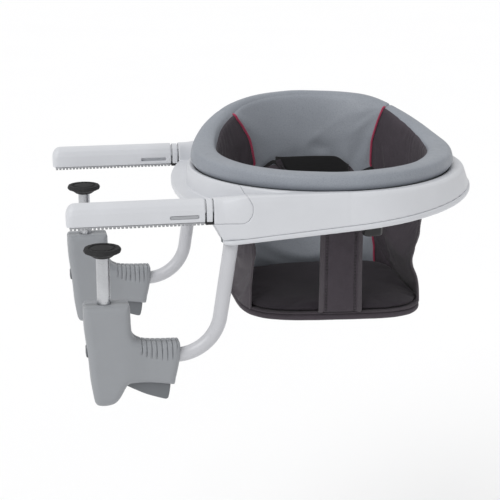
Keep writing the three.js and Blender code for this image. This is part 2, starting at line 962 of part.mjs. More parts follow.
// Grip around the leg tube, lofted along X, with rings moulded over its upper part
function gripBody() {
  const startX = columnRightX - columnRound;
  const flareX = columnRightX + columnRound;
  const ribStart = gripEndX - ribCount * ribPitch;
  const riseShares = [
    [startX, 0.7, 0], [columnRightX, 0.45, 0], [flareX - columnRound / 3, 0.1, 0], [flareX, 0, 0],
  ];
  for (let i = 0; i < ribCount; i += 1) {
    const x = ribStart + i * ribPitch;
    riseShares.push([x, 0, 0], [x + ribPitch * 0.25, 0, 1], [x + ribPitch * 0.5, 0, 0]);
  }
  riseShares.push([gripEndX - ribPitch * 0.25, 0, 0], [gripEndX, -0.22, 0.6]);
  const half = gripThickness / 2;
  const rings = riseShares.map(([x, rise, groove]) => {
    const low = gripBottomZ - (x - columnRightX) * 0.06;
    const high = gripTopZ + rise * gripRound;
    const ring = roundedSection(half, (high - low) / 2, gripRound, 2);
    return ring.map(([y, up]) => {
      const z = (high + low) / 2 + up;
      const depth = z > ribLowZ ? groove * ribDepth : 0;
      const pull = 1 - depth / half;
      return [x, y * pull, z > ribLowZ ? z - depth * smooth((z - ribLowZ) / gripRound) : z];
    });
  });
  return solid(loft(rings));
}

function clampCuts() {
  const rodBore = solid(post(
    rodRadius + fit * 2, columnBottomZ + rodBoreFloor, columnTopZ + overrun, boreSides, rodX,
  ));
  const tubeBore = solid(barAlongX(
    tubeRadius + fit, legReachX - fit, gripEndX + overrun, boreSides, 0, legRunZ,
  ));
  const platePocket = solid(block(
    plateLeftX - fit, plateRightX + fit * 4, -plateWidth / 2 - fit, plateWidth / 2 + fit,
    plateZ - fit, plateZ + plateThickness + plateThickness,
  ));
  const springPocket = solid(post(
    rodRadius + springWire * 3 + fit, plateZ, springPocketTop, boreSides, rodX,
  ));
  const swingEndX = pivotX + Math.hypot(triggerEndX - pivotX, triggerDrop) + fit * 2;
  const triggerPocket = solid(sidePlate([
    [pivotX - pivotDiameter - fit * 3, columnBottomZ - overrun],
    [swingEndX, columnBottomZ - overrun],
    [swingEndX, pivotZ + triggerDrop * 0.52],
    [pivotX + pivotDiameter * 2.2, plateZ + fit],
    [pivotX - pivotDiameter - fit * 3, plateZ + fit],
  ], -triggerThickness / 2 - fit * 2, triggerThickness / 2 + fit * 2));
  const pinBore = solid(barAlongY(
    pivotDiameter / 2 + fit, -gripThickness / 2 + ribDepth * 2, gripThickness / 2 - ribDepth * 2,
    tubeSides, pivotX, pivotZ,
  ));
  const buttonPocket = solid(block(
    columnLeftX - overrun, columnLeftX + buttonStem + buttonTravel + fit * 4,
    -buttonWidth / 2 - fit, buttonWidth / 2 + fit,
    buttonZ - buttonHeight / 2 - fit, buttonZ + buttonHeight / 2 + fit,
  ));
  return [rodBore, tubeBore, platePocket, springPocket, triggerPocket, pinBore, buttonPocket];
}

const clampWhole = cutBy(columnBody().add(gripBody()), clampCuts());

function clampHalf(sign) {
  const wide = armSpread;
  const from = sign > 0 ? shellGap / 2 : -wide;
  const to = sign > 0 ? wide : -shellGap / 2;
  const room = solid(block(
    columnLeftX - wide, gripEndX + wide, from, to, columnBottomZ - wide, wide,
  ));
  return geometryOf(clampWhole.intersect(room));
}

function clampRod() {
  return turnedCore([
    [0, rodBottomZ], [rodRadius - rodEdge, rodBottomZ], [rodRadius, rodBottomZ + rodEdge],
    [rodRadius, padBottomZ - fit], [0, padBottomZ - fit],
  ], tubeSides, rodX);
}

function clampPad() {
  const radius = padDiameter / 2;
  const groove = padHeight / 8;
  const profile = [
    [0, padBottomZ], [rodRadius * 1.4, padBottomZ],
    [radius * 0.72, padBottomZ + padHeight * 0.35],
    [radius * 0.97, padBottomZ + padHeight * 0.55],
    [radius, padBottomZ + padHeight * 0.75], [radius * 0.95, padTopZ],
    [radius * 0.74, padTopZ], [radius * 0.7, padTopZ - groove],
    [radius * 0.63, padTopZ - groove], [radius * 0.59, padTopZ], [0, padTopZ],
  ];
  return turnedCore(profile, boreSides, rodX);
}

// The trigger turns about its pin, and the hump beside the pin lies just under the jam plate
function trigger() {
  const reach = triggerEndX - pivotX;
  const round = pivotDiameter * 0.95;
  const shares = [
    [-0.06, 0], [0.02, 0.2], [0.12, 0.29], [0.19, 0.27], [0.3, 0.16], [0.62, 0], [1, -0.12],
    [0.985, -0.8], [0.93, -1.02], [0.82, -1.06], [0.55, -0.86], [0.25, -0.5], [0.02, -0.26],
    [-0.05, -0.14],
  ];
  const outline = shares.map(([alongShare, upShare]) => [
    pivotX + alongShare * reach, pivotZ + upShare * (triggerDrop + round),
  ]);
  const half = triggerThickness / 2;
  const body = solid(sidePlate(outline, -half, half, pivotDiameter / 5));
  const hub = solid(barAlongY(round, -half, half, tubeSides, pivotX, pivotZ));
  const bore = solid(barAlongY(
    pivotDiameter / 2 + fit, -half - overrun, half + overrun, tubeSides, pivotX, pivotZ,
  ));
  return geometryOf(body.add(hub).subtract(bore));
}

function triggerPin() {
  const half = gripThickness / 2 - ribDepth * 2 - fit;
  return barAlongY(pivotDiameter / 2, -half, half, tubeSides, pivotX, pivotZ);
}

function jamPlate() {
  const half = plateWidth / 2;
  const plate = solid(block(
    plateLeftX, plateRightX, -half, half, plateZ, plateZ + plateThickness,
  ));
  const hole = solid(post(
    rodRadius + plateHoleSlack, plateZ - overrun, plateZ + plateThickness + overrun,
    boreSides, rodX,
  ));
  return geometryOf(plate.subtract(hole));
}

function plateSpring() {
  const radius = rodRadius + fit + springWire * 1.5;
  const low = plateZ + plateThickness + springWire * 1.5 + fit;
  const high = springPocketTop - springWire / 2 - fit;
  const perTurn = 8;
  const sides = 5;
  const rings = [];
  for (let i = 0; i <= springTurns * perTurn; i += 1) {
    const turn = (i / perTurn) * Math.PI * 2;
    const rise = mix(low, high, i / (springTurns * perTurn));
    const ring = [];
    for (let k = 0; k < sides; k += 1) {
      const around = (k / sides) * Math.PI * 2;
      const out = radius + (Math.cos(around) * springWire) / 2;
      ring.push([
        rodX + out * Math.cos(turn), out * Math.sin(turn),
        rise + (Math.sin(around) * springWire) / 2,
      ]);
    }
    rings.push(ring);
  }
  return loft(rings);
}

function releaseButton() {
  const faceX = columnLeftX + (columnRightX - columnLeftX) * 0.035 - buttonProud;
  const halfHeight = buttonHeight / 2;
  return sidePlate([
    [faceX, buttonZ - halfHeight * 0.6], [faceX + buttonProud, buttonZ - halfHeight],
    [columnLeftX + buttonStem, buttonZ - halfHeight],
    [columnLeftX + buttonStem, buttonZ + halfHeight],
    [faceX + buttonProud, buttonZ + halfHeight], [faceX, buttonZ + halfHeight * 0.6],
  ], -buttonWidth / 2, buttonWidth / 2, buttonProud / 2);
}

for (const side of ['near', 'far']) {
  add(`arm_shell_${side}`, placed(armShell(), side), 'white');
  add(`arm_latch_${side}`, placed(armLatch(), side), 'foot');
  add(`arm_foot_${side}`, placed(armFoot(), side), 'foot');
  add(`arm_tube_${side}`, placed(armTube(), side), 'steel');
  add(`arm_collar_${side}`, placed(armCollar(), side), 'white');
  add(`edge_pad_${side}`, placed(edgePad(), side), 'rubber');
  add(`leg_tube_${side}`, placed(legTube(), side), 'steel');
  add(`leg_bush_${side}`, placed(legBush(), side), 'rubber');
  add(`leg_clip_${side}`, placed(legClip(), side), 'metal');
  add(`clamp_shell_outer_${side}`, placed(clampHalf(-1), side), 'clamp');
  add(`clamp_shell_inner_${side}`, placed(clampHalf(1), side), 'clamp');
  add(`clamp_rod_${side}`, placed(clampRod(), side), 'metal');
  add(`clamp_pad_${side}`, placed(clampPad(), side), 'rubber');
  add(`trigger_${side}`, placed(trigger(), side), 'trigger');
  add(`trigger_pin_${side}`, placed(triggerPin(), side), 'metal');
  add(`jam_plate_${side}`, placed(jamPlate(), side), 'metal');
  add(`plate_spring_${side}`, placed(plateSpring(), side), 'metal');
  add(`release_button_${side}`, placed(releaseButton(), side), 'trigger');
}

// Padded ring. Angles run from the seat's back, which faces +Y, toward +X.
// Crest heights as turn over a right angle, then share of the rise to the backrest's top.
const backTopShares = [
  [0, 1], [0.222, 0.96], [0.333, 0.9], [0.422, 0.83], [0.5, 0.75], [0.556, 0.667],
  [0.611, 0.586], [0.667, 0.495], [0.722, 0.394], [0.778, 0.303], [0.833, 0.222],
  [0.889, 0.152], [1, 0.07], [1.17, 0.03], [2, 0],
];

function padTop(angle) {
  const turn = Math.abs(angle > fullTurn / 2 ? angle - fullTurn : angle) / (fullTurn / 4);
  let row = 1;
  while (row < backTopShares.length - 1 && backTopShares[row][0] < turn) row += 1;
  const [turnA, shareA] = backTopShares[row - 1];
  const [turnB, shareB] = backTopShares[row];
  const share = mix(shareA, shareB, (turn - turnA) / (turnB - turnA));
  return mix(padFrontTop, padBackTop, share);
}

const padBase = flangeZ + seatRingPlate + fit;
const padFootInner = clothTopRadius + clothThickness + fit * 3;

function padShape(angle, pinch) {
  const top = padTop(angle);
  const tall = (top - padFrontTop) / (padBackTop - padFrontTop);
  const crown = mix(padFrontCrown, padBackCrown, tall);
  const crownOuter = padOuter - pinch - padCrownInset - padLean * tall;
  return { crown, crownOuter, crownInner: crownOuter - crown, rise: top - pinch - padWaistZ };
}

// Inner face of the padding, from its waist up onto its crown
function padInnerFace(angle, pinch) {
  const { crown, crownOuter, crownInner, rise } = padShape(angle, pinch);
  const inner = padInner + pinch;
  return [
    [inner, padWaistZ], [mix(inner, crownInner, 0.5), padWaistZ + rise * 0.5],
    [crownInner + crown * 0.06, padWaistZ + rise * 0.84],
    [crownOuter - crown * 0.72, padWaistZ + rise * 0.97],
  ];
}

function padSection(angle, pinch) {
  const { crown, crownOuter, rise } = padShape(angle, pinch);
  const outer = padOuter - pinch;
  const foot = outer - padFootInset;
  const rows = [
    [mix(padFootInner, foot, 0.1), padBase], [mix(padFootInner, foot, 0.5), padBase],
    [foot, padBase], [mix(foot, outer, 0.7), padBase + padFootRise], [outer, padWaistZ],
    [mix(outer, crownOuter, 0.4), padWaistZ + rise * 0.5],
    [crownOuter - crown * 0.03, padWaistZ + rise * 0.82],
    [crownOuter - crown * 0.2, padWaistZ + rise * 0.965],
    [crownOuter - crown * 0.45, padWaistZ + rise],
    ...padInnerFace(angle, pinch).reverse(), [padFootInner, padBase + padFootRise],
  ];
  const turn = angle * degree;
  return rows.map(([r, z]) => [seatX + r * Math.sin(turn), r * Math.cos(turn), z]);
}

function padPiece(from, to, steps) {
  const rings = [];
  for (let i = 0; i <= steps; i += 1) {
    const share = i / steps;
    const edge = Math.min(share, 1 - share) * steps;
    rings.push(padSection(mix(from, to, share), edge < 1 ? seamPinch : 0));
  }
  return loft(rings);
}

const seamHalf = seamGap / 2 / padOuter / degree;
const backrestSteps = 18;
const cushionSteps = 34;
add('backrest_pad', padPiece(
  -seamAngle + seamHalf, seamAngle - seamHalf, backrestSteps,
), 'leatherette');
add('ring_cushion', padPiece(
  seamAngle + seamHalf, fullTurn - seamAngle - seamHalf, cushionSteps,
), 'leatherette');

// Fabric seat hung from the ring. Its level outline is a rounded square below
// and a circle above. Angles run from the seat's back toward +X, as on the ring.

function clothRadius(angle, z) {
  const fall = Math.min(Math.max((clothNeckZ - z) / (clothNeckZ - cushionTop), 0), 1);
  const down = smooth(fall);
  const upper = smooth((z - clothNeckZ) / (padBase - clothNeckZ));
  const round = mix(clothNeckRadius, clothTopRadius, upper);
  const power = mix(2, 4, down);
  const turn = angle * degree;
  const side = Math.abs(Math.sin(turn));
  const ahead = Math.cos(turn);
  const reach = mix(round, ahead > 0 ? seatBack : seatFront, down);
  const half = mix(round, seatHalfWidth, down);
  const body = ((side / half) ** power + (Math.abs(ahead) / reach) ** power) ** (-1 / power);
  return body - Math.sin(Math.PI * fall) * seatWaist * smooth(side * 1.4 - 0.4);
}

const clothFoot = seatBaseZ + seatRim + fit;

// The back panel narrows toward its middle height, so an edge that follows it turns inward there
function nipped(angle, z) {
  const rise = (z - clothFoot) / (padTop(seamAngle) - clothFoot);
  const share = Math.min(Math.max(rise, 0), 1) ** 1.6;
  return angle * (1 - backNip * Math.sin(Math.PI * share));
}

// The cloth climbs the padding's inner face to a seam between the last two of its points
function climb(angle, step) {
  const face = padInnerFace(angle, 0);
  const clear = clothTopGap + fit;
  if (step < face.length - 1) return [face[step][0] - clear, face[step][1]];
  const [before, last] = face.slice(-2);
  return [
    mix(before[0], last[0], clothSeamShare) - clear,
    mix(before[1], last[1], clothSeamShare) + fit,
  ];
}

// Patch of cloth between two edges, from a height up to the seam, with folds along it
function clothPatch({ from, to, low, columns, hangRows, folds = 0, thick }) {
  const rows = hangRows + 3;
  const faces = [0, 1].map((face) => {
    const grid = [];
    for (let j = 0; j <= rows; j += 1) {
      const step = Math.max(j - hangRows, 0);
      const level = mix(low, padWaistZ, Math.min(j / hangRows, 1));
      const nipZ = step > 0 ? climb(seamAngle, step)[1] : level;
      for (let i = 0; i <= columns; i += 1) {
        const share = i / columns;
        const angle = mix(from(nipZ), to(nipZ), share);
        const [outside, z] = step > 0 ? climb(angle, step) : [clothRadius(angle, level), level];
        const calm = Math.sin(Math.PI * share) * Math.sin((Math.PI * j) / rows);
        const wave = 1 + Math.sin(share * Math.PI * 2 * folds) * calm;
        const fold = folds > 0 && step === 0 ? wave * foldDepth : 0;
        const radius = outside - face * thick - fold;
        const turn = angle * degree;
        grid.push([seatX + radius * Math.sin(turn), radius * Math.cos(turn), z]);
      }
    }
    return grid;
  });
  const wide = columns + 1;
  const count = faces[0].length;
  const triangles = [];
  const quad = (a, b, c, d) => triangles.push(a, b, c, a, c, d);
  for (let j = 0; j < rows; j += 1) {
    for (let i = 0; i < columns; i += 1) {
      const a = j * wide + i;
      quad(a, a + 1, a + wide + 1, a + wide);
      quad(count + a, count + a + wide, count + a + wide + 1, count + a + 1);
    }
  }
  for (let i = 0; i < columns; i += 1) {
    const topRow = rows * wide + i;
    quad(i + 1, i, count + i, count + i + 1);
    quad(topRow, topRow + 1, count + topRow + 1, count + topRow);
  }
  for (let j = 0; j < rows; j += 1) {
    const left = j * wide;
    const right = left + columns;
    quad(left, left + wide, count + left + wide, count + left);
    quad(right + wide, right, count + right, count + right + wide);
  }
  return facingOut(meshOf([...faces[0], ...faces[1]], triangles));
}

const backEdge = seamAngle - pipingTurn;
const clothRows = 8;
add('back_panel', clothPatch({
  from: (z) => nipped(-backEdge, z), to: (z) => nipped(backEdge, z),
  low: clothFoot, columns: 12, hangRows: clothRows, thick: clothThickness,
}), 'leatherette');

for (const [name, sign] of [['left', 1], ['right', -1]]) {
  add(`side_panel_${name}`, clothPatch({
    from: (z) => nipped(sign * (seamAngle + panelGapAngle), z),
    to: () => sign * frontEdgeAngle,
    low: clothFoot,
    columns: 12, hangRows: clothRows, folds: foldCount, thick: clothThickness,
  }), 'fabric');
  add(`piping_${name}`, clothPatch({
    from: (z) => nipped(sign * (backEdge + panelGapAngle), z),
    to: (z) => nipped(sign * seamAngle, z),
    low: clothFoot,
    columns: 1, hangRows: clothRows, thick: pipingWidth,
  }), 'piping');
}

add('front_lining', clothPatch({
  from: () => frontEdgeAngle + panelGapAngle, to: () => fullTurn - frontEdgeAngle - panelGapAngle,
  low: clothNeckZ + liningDrop * 2.4,
  columns: 16, hangRows: 2, thick: clothThickness,
}), 'fabric');

// Seat base and cushion

function seatPlan(inset, z) {
  const ring = [];
  const steps = 32;
  for (let i = 0; i < steps; i += 1) {
    const turn = (i / steps) * Math.PI * 2;
    const power = 0.5;
    const wide = Math.sign(Math.sin(turn)) * Math.abs(Math.sin(turn)) ** power;
    const ahead = Math.sign(Math.cos(turn)) * Math.abs(Math.cos(turn)) ** power;
    const reach = ahead > 0 ? seatBack : seatFront;
    ring.push([seatX + wide * (seatHalfWidth - inset), ahead * (reach - inset), z]);
  }
  return ring;
}

const baseTopZ = seatBaseZ + seatRim;
add('seat_base', loft([
  seatPlan(seatRim * 0.45, seatBaseZ), seatPlan(seatRim * 0.1, seatBaseZ + seatRim * 0.35),
  seatPlan(0, seatBaseZ + seatRim * 0.7), seatPlan(seatRim * 0.12, baseTopZ),
]), 'fabric');

const cushionBase = baseTopZ + fit;
add('seat_cushion', loft([
  seatPlan(cushionInset + seatCrown / 4, cushionBase),
  seatPlan(cushionInset, cushionBase + seatCrown * 0.25),
  seatPlan(cushionInset + seatCrown / 8, cushionBase + seatCrown * 0.6),
  seatPlan(cushionInset + seatCrown, cushionBase + seatCrown),
  seatPlan(cushionInset + seatCrown * 3, cushionTop - clothThickness),
  seatPlan(cushionInset + seatCrown * 5.5, cushionTop),
]), 'fabric');

// Crotch panel from the front of the base up to the lining, and the webbing belt

function ribbon(path, half, thickness) {
  const rings = path.map(([x, y, z], i) => {
    const before = path[Math.max(i - 1, 0)];
    const after = path[Math.min(i + 1, path.length - 1)];
    const slope = Math.atan2(after[2] - before[2], after[1] - before[1]);
    const outY = -Math.sin(slope) * (thickness / 2);
    const outZ = Math.cos(slope) * (thickness / 2);
    return [
      [x - half, y + outY, z + outZ], [x + half, y + outY, z + outZ],
      [x + half, y - outY, z - outZ], [x - half, y - outY, z - outZ],
    ];
  });
  return loft(rings);
}

const strapShares = [[0, 0], [-0.02, 0.12], [0.02, 0.35], [0.2, 0.6], [0.62, 0.85], [1, 1]];
const strapFootZ = baseTopZ + seatRim * 0.3;
const strapTopZ = clothNeckZ + liningDrop * 4;
const liningInside = clothRadius(fullTurn / 2, strapTopZ) - clothThickness - fit * 2;
const strapTopY = clothThickness / 2 - Math.sqrt(liningInside ** 2 - (strapWidth / 2) ** 2);
const strapFootY = -seatFront - clothThickness * 0.2;
add('crotch_panel', ribbon(
  strapShares.map(([outShare, upShare]) => [
    seatX, mix(strapFootY, strapTopY, outShare), mix(strapFootZ, strapTopZ, upShare),
  ]),
  strapWidth / 2, clothThickness,
), 'fabric');

// The belt runs inside the back panel and bows forward between its two ends
const beltX = seatX + beltShift;
const beltBackY = clothRadius(0, beltTop) - clothThickness - fit * 2;

function beltRing(share) {
  const x = beltX + mix(-beltHalfSpan, beltHalfSpan, share);
  const bow = Math.sin(Math.PI * share) ** 0.6;
  const turn = Math.asin((x - seatX) / clothNeckRadius);
  const back = beltBackY - (1 - Math.cos(turn)) * clothNeckRadius - bow * beltBulge;
  return [
    [x, back - beltThickness, beltTop - beltWidth], [x, back, beltTop - beltWidth],
    [x, back, beltTop], [x, back - beltThickness, beltTop],
  ];
}

const beltRings = [];
const beltSteps = 14;
for (let i = 0; i <= beltSteps; i += 1) beltRings.push(beltRing(i / beltSteps));
add('waist_belt', loft(beltRings), 'webbing');

export default chair;
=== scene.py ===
import json
import math

import bmesh
import bpy
import numpy as np
from mathutils import Matrix, Vector, noise
from mathutils.geometry import delaunay_2d_cdt


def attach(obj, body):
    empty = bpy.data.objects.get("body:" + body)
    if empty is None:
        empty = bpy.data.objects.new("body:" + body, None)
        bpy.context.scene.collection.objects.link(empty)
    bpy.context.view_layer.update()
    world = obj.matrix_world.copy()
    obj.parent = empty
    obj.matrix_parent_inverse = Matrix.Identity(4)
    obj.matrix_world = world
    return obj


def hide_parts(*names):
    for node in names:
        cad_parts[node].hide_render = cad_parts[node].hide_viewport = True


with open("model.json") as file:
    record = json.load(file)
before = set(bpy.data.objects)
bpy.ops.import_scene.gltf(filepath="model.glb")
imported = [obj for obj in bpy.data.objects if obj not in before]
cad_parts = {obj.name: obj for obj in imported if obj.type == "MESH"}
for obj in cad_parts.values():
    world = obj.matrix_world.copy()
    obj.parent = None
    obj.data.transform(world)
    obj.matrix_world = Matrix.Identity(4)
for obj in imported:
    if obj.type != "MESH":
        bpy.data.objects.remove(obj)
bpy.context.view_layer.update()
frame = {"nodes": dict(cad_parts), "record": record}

# The hook-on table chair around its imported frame. Sizes are in millimetres until a mesh
# is made. X runs away from the table, Y to the far side, Z up.

NODES = frame["nodes"]
BODY_OF = {
    node: body
    for body, members in frame["record"]["behaviour"]["bodies"].items()
    for node in members
}
MM = 0.001
TAU = math.tau

# Sizes of the rigid parts, as in the model. A pair of heights or widths is at the table
# side and at the far side.
SEAT_X, DISC_RADIUS, DISC_REACH, DISC_NEAR_X, DISC_FAR_X = 176.0, 188.6, 7.6, -5.0, 372.2
FIT = 0.3
ARM_Y, ARM_HALF, ARM_TOP, ARM_REACH = 168.0, 13.5, 30.5, 170.0
LATCH_LEFT, LATCH_BACK, COLLAR_SHIFT, END_ROUND = -49.7, 10.8, 3.0, 11.0
HOUSING_TOP, HOUSING_FRONT, FRONT_SLANT = 32.5, 5.8, 11.0
BOTTOM, BAND = (-27.7, -0.4), (5.0, 8.6)
SHOULDER = (5.0, 13.5)
# The housing's wall, as shares of the shoulder's width and of the height
WALL = [(0.12, 0), (0.27, 0.26), (0.6, 0.8), (0.76, 0.92), (1, 1)]
APRON_FRONT, APRON_RADIUS, APRON_TOP, APRON_UNDER = 21.2, 464.0, 7.0, 0.8
SEAM_X, SEAM_LOW, SEAM_ROUND = 48.5, 0.5, 15.0
BORE, BORE_RELIEF, RELIEF_Z = 150.0, 6.0, 10.0
BOWL_FLOOR_Z, BOWL_FLOOR, BOWL_RIM = 22.0, 166.0, 173.2
TABLE_CLEAR, TABLE_DEPTH = 2.2, 90.0
ARM_TUBE_Z, TUBE_RADIUS, ARM_TUBE_INSIDE = 18.5, 9.0, 58.0
LEG_X, LEG_TOP, LEG_KNEE, LEG_LEAN = 28.0, 4.7, -27.0, math.radians(8.7)
LEG_BEND, LEG_RUN, LEG_REACH, KNEE_REACH = 55.0, -166.0, -96.0, 10.0
BUSH_WALL, BUSH_FLANGE = 3.4, 1.6
ROD_X, ROD_RADIUS, ROD_BOTTOM, ROD_TOP = -128.0, 8.0, -193.0, -37.2
LOCK_ANGLE, LOCK_HALF = math.radians(-79), 6.0
ROUND_STEPS = 240

# Sizes of the padded ring and of the fabric seat
PAD_INNER, PAD_OUTER, PAD_WAIST, PAD_BASE = 138.0, 172.7, 40.0, 31.0
PAD_FRONT_TOP, PAD_BACK_TOP = 52.5, 102.0
PAD_FRONT_CROWN, PAD_BACK_CROWN, PAD_CROWN_INSET = 32.0, 19.0, 2.0
PAD_LEAN, PAD_FOOT_INSET, PAD_FOOT_RISE, PAD_FOOT_INNER = 5.0, 7.0, 4.0, 141.1
SEAM_ANGLE = 49.0
# Height of the ring's crest, as quarter turns from the back and a share of the rise
CREST = [
    (0, 1), (0.222, 0.96), (0.333, 0.9), (0.422, 0.83), (0.5, 0.75), (0.556, 0.667),
    (0.611, 0.586), (0.667, 0.495), (0.722, 0.394), (0.778, 0.303), (0.833, 0.222),
    (0.889, 0.152), (1, 0.07), (1.17, 0.03), (2, 0),
]
# Radius of the hanging cloth at the ring, at its neck below the housing, and on average
CLOTH_TOP, CLOTH_NECK, CLOTH_NECK_Z, CLOTH_MEAN = 137.0, 142.0, -24.0, 140.0
SEAT_HALF, SEAT_FRONT, SEAT_BACK, SEAT_WAIST = 120.0, 121.0, 80.0, 13.0
SEAT_BASE_Z, SEAT_RIM, CUSHION_TOP, CUSHION_FLOOR = -150.0, 11.0, -124.0, -138.7
FRONT_EDGE, STRAP_WIDTH = 128.0, 55.0


def mix(a, b, share):
    return a + (b - a) * share


def read(table, at):
    """Value at a place from a table of places and values."""
    return float(np.interp(at, *zip(*table)))


def smooth(share):
    t = min(max(share, 0.0), 1.0)
    return t * t * (3 - 2 * t)


def link(name, data):
    obj = bpy.data.objects.new(name, data)
    bpy.context.scene.collection.objects.link(obj)
    return obj


# Camera at the photograph's place. The focal length and the picture are in pixels.

CAMERA_AT = Vector((-248.186, -1891.655, 450.546)) * MM
CAMERA_RIGHT = Vector((0.98518925, -0.17146547, -0.00131555))
CAMERA_DOWN = Vector((-0.04728581, -0.26429943, -0.96328078))
CAMERA_FORWARD = Vector((0.1648217, 0.94907608, -0.26849284))
FOCAL, PICTURE, SENSOR = 1493.157, 500.0, 36.0


def make_camera():
    data = bpy.data.cameras.new("Camera")
    data.sensor_width = SENSOR
    data.lens = FOCAL / PICTURE * SENSOR
    data.clip_start, data.clip_end = 0.05, 60
    camera = link("Camera", data)
    axes = Matrix((CAMERA_RIGHT, -CAMERA_DOWN, -CAMERA_FORWARD)).transposed().to_4x4()
    camera.matrix_world = Matrix.Translation(CAMERA_AT) @ axes
    bpy.context.scene.camera = camera


make_camera()


# Meshes

def make(name, points, faces):
    mesh = bpy.data.meshes.new(name)
    mesh.from_pydata([tuple(v * MM for v in p) for p in points], [], faces)
    obj = link(name, mesh)
    tidy(obj)
    return obj


def circle(radius, steps, x=0.0, y=0.0):
    return [(x + radius * math.cos(i / steps * TAU), y + radius * math.sin(i / steps * TAU))
            for i in range(steps)]


def run_along(points):
    """Length of the path up to each of its points."""
    steps = np.linalg.norm(np.diff(points, axis=0), axis=1)
    return np.concatenate([[0], np.cumsum(steps)])


def read_at(goal, run, points):
    """Points of a path at the given lengths along it."""
    return np.stack([np.interp(goal, run, column) for column in np.array(points).T], axis=-1)


def coords_of(mesh):
    flat = np.empty(len(mesh.vertices) * 3)
    mesh.vertices.foreach_get("co", flat)
    return flat.reshape(-1, 3)


def set_coords(mesh, coords):
    mesh.vertices.foreach_set("co", coords.ravel())
    mesh.update()


def set_weave(mesh, flat):
    """Stores each point's place on the flat cloth, in metres, for the threads."""
    weave = mesh.attributes.new("weave", "FLOAT_VECTOR", "POINT")
    weave.data.foreach_set("vector", np.array(flat).ravel())


def mapped(name, points, faces, flat):
    """A smooth mesh that isn't welded, with its flat map, all in metres."""
    mesh = bpy.data.meshes.new(name)
    mesh.from_pydata(points.tolist(), [], faces)
    mesh.polygons.foreach_set("use_smooth", [True] * len(faces))
    set_weave(mesh, flat)
    return link(name, mesh)


def tidy(obj):
    """Welds the mesh, turns its faces outward and shades it smooth."""
    work = bmesh.new()
    work.from_mesh(obj.data)
    bmesh.ops.remove_doubles(work, verts=work.verts, dist=1e-6)
    bmesh.ops.recalc_face_normals(work, faces=work.faces)
    for face in work.faces:
        face.smooth = True
    work.to_mesh(obj.data)
    work.free()


def bake(obj):
    """Puts the modifiers' result into the mesh."""
    graph = bpy.context.evaluated_depsgraph_get()
    mesh = bpy.data.meshes.new_from_object(obj.evaluated_get(graph))
    old = obj.data
    obj.modifiers.clear()
    obj.data = mesh
    bpy.data.meshes.remove(old)
    mesh.polygons.foreach_set("use_smooth", [True] * len(mesh.polygons))


def spline(points, per, closed=False):
    """Points on a Catmull-Rom curve through the given ones."""
    pts = [np.array(p, float) for p in points]
    n = len(pts)
    out = []
    for i in range(n if closed else n - 1):
        if closed:
            a, b, c, d = (pts[(i + k) % n] for k in (-1, 0, 1, 2))
        else:
            b, c = pts[i], pts[i + 1]
            a = pts[i - 1] if i else 2 * b - c
            d = pts[i + 2] if i + 2 < n else 2 * c - b
        for k in range(per):
            t = k / per
            out.append(0.5 * (
                2 * b + (c - a) * t + (2 * a - 5 * b + 4 * c - d) * t * t
                + (3 * b - a - 3 * c + d) * t ** 3
            ))
    if not closed:
        out.append(pts[-1])
    return [tuple(p) for p in out]


def loft(name, rings, loop=False):
    """Closed rings of equal count joined one to the next; loop joins the last to the first."""
    count, rows = len(rings[0]), len(rings)
    faces = []
    for j in range(rows if loop else rows - 1):
        k = (j + 1) % rows
        for i in range(count):
            h = (i + 1) % count
            faces.append((j * count + i, j * count + h, k * count + h, k * count + i))
    if not loop:
        faces.append(tuple(reversed(range(count))))
        faces.append(tuple(range((rows - 1) * count, rows * count)))
    return make(name, [p for ring in rings for p in ring], faces)


def turned(name, profile, steps):
    """A closed profile of radius and height turned about the seat's axis."""
    rings = []
    for i in range(steps):
        a = i / steps * TAU
        rings.append([(SEAT_X + r * math.cos(a), r * math.sin(a), z) for r, z in profile])
    return loft(name, rings, loop=True)


def block(name, x0, x1, y0, y1, z0, z1):
    return loft(name, [
        [(x0, y0, z), (x1, y0, z), (x1, y1, z), (x0, y1, z)] for z in (z0, z1)
    ])


def side_plate(name, outline, y0, y1):
    return loft(name, [[(x, y, z) for x, z in outline] for y in (y0, y1)])


def post(name, radius, low, high, x, y, steps=64):
    return loft(name, [[(a, b, z) for a, b in circle(radius, steps, x, y)] for z in (low, high)])


def bar(name, radius, x0, x1, y, z, steps=48):
    return loft(name, [[(x, y + a, z + b) for a, b in circle(radius, steps)] for x in (x0, x1)])


def pin(name, radius, y0, y1, x, z, steps=24):
    return loft(name, [[(x + a, y, z + b) for a, b in circle(radius, steps)] for y in (y0, y1)])


def tube(name, path, radius, sides=24, flat=1.0):
    """A tube of round section along a path, or of a flattened one, with domed ends."""
    pts = [Vector(p) for p in path]
    rings = []
    across = None
    for i, p in enumerate(pts):
        ahead = (pts[min(i + 1, len(pts) - 1)] - pts[max(i - 1, 0)]).normalized()
        if across is None:
            across = ahead.orthogonal().normalized()
        across = (across - ahead * across.dot(ahead)).normalized()
        up = ahead.cross(across)
        rings.append([
            p + (across * math.cos(k / sides * TAU) + up * math.sin(k / sides * TAU) * flat)
            * radius for k in range(sides)
        ])
    return loft(name, rings)


def copy_of(node):
    obj = link("copy_" + node, NODES[node].data.copy())
    tidy(obj)
    return obj


def combine(obj, other, kind):
    modifier = obj.modifiers.new("combine", "BOOLEAN")
    modifier.operation = kind
    modifier.solver = "MANIFOLD"
    modifier.object = other
    bake(obj)


def cut(obj, cutters):
    for cutter in cutters:
        combine(obj, cutter, "DIFFERENCE")


def drop(*objects):
    for obj in objects:
        bpy.data.objects.remove(obj)


def even_out(obj, voxel):
    remesh = obj.modifiers.new("even", "REMESH")
    remesh.mode = "VOXEL"
    remesh.voxel_size = voxel * MM


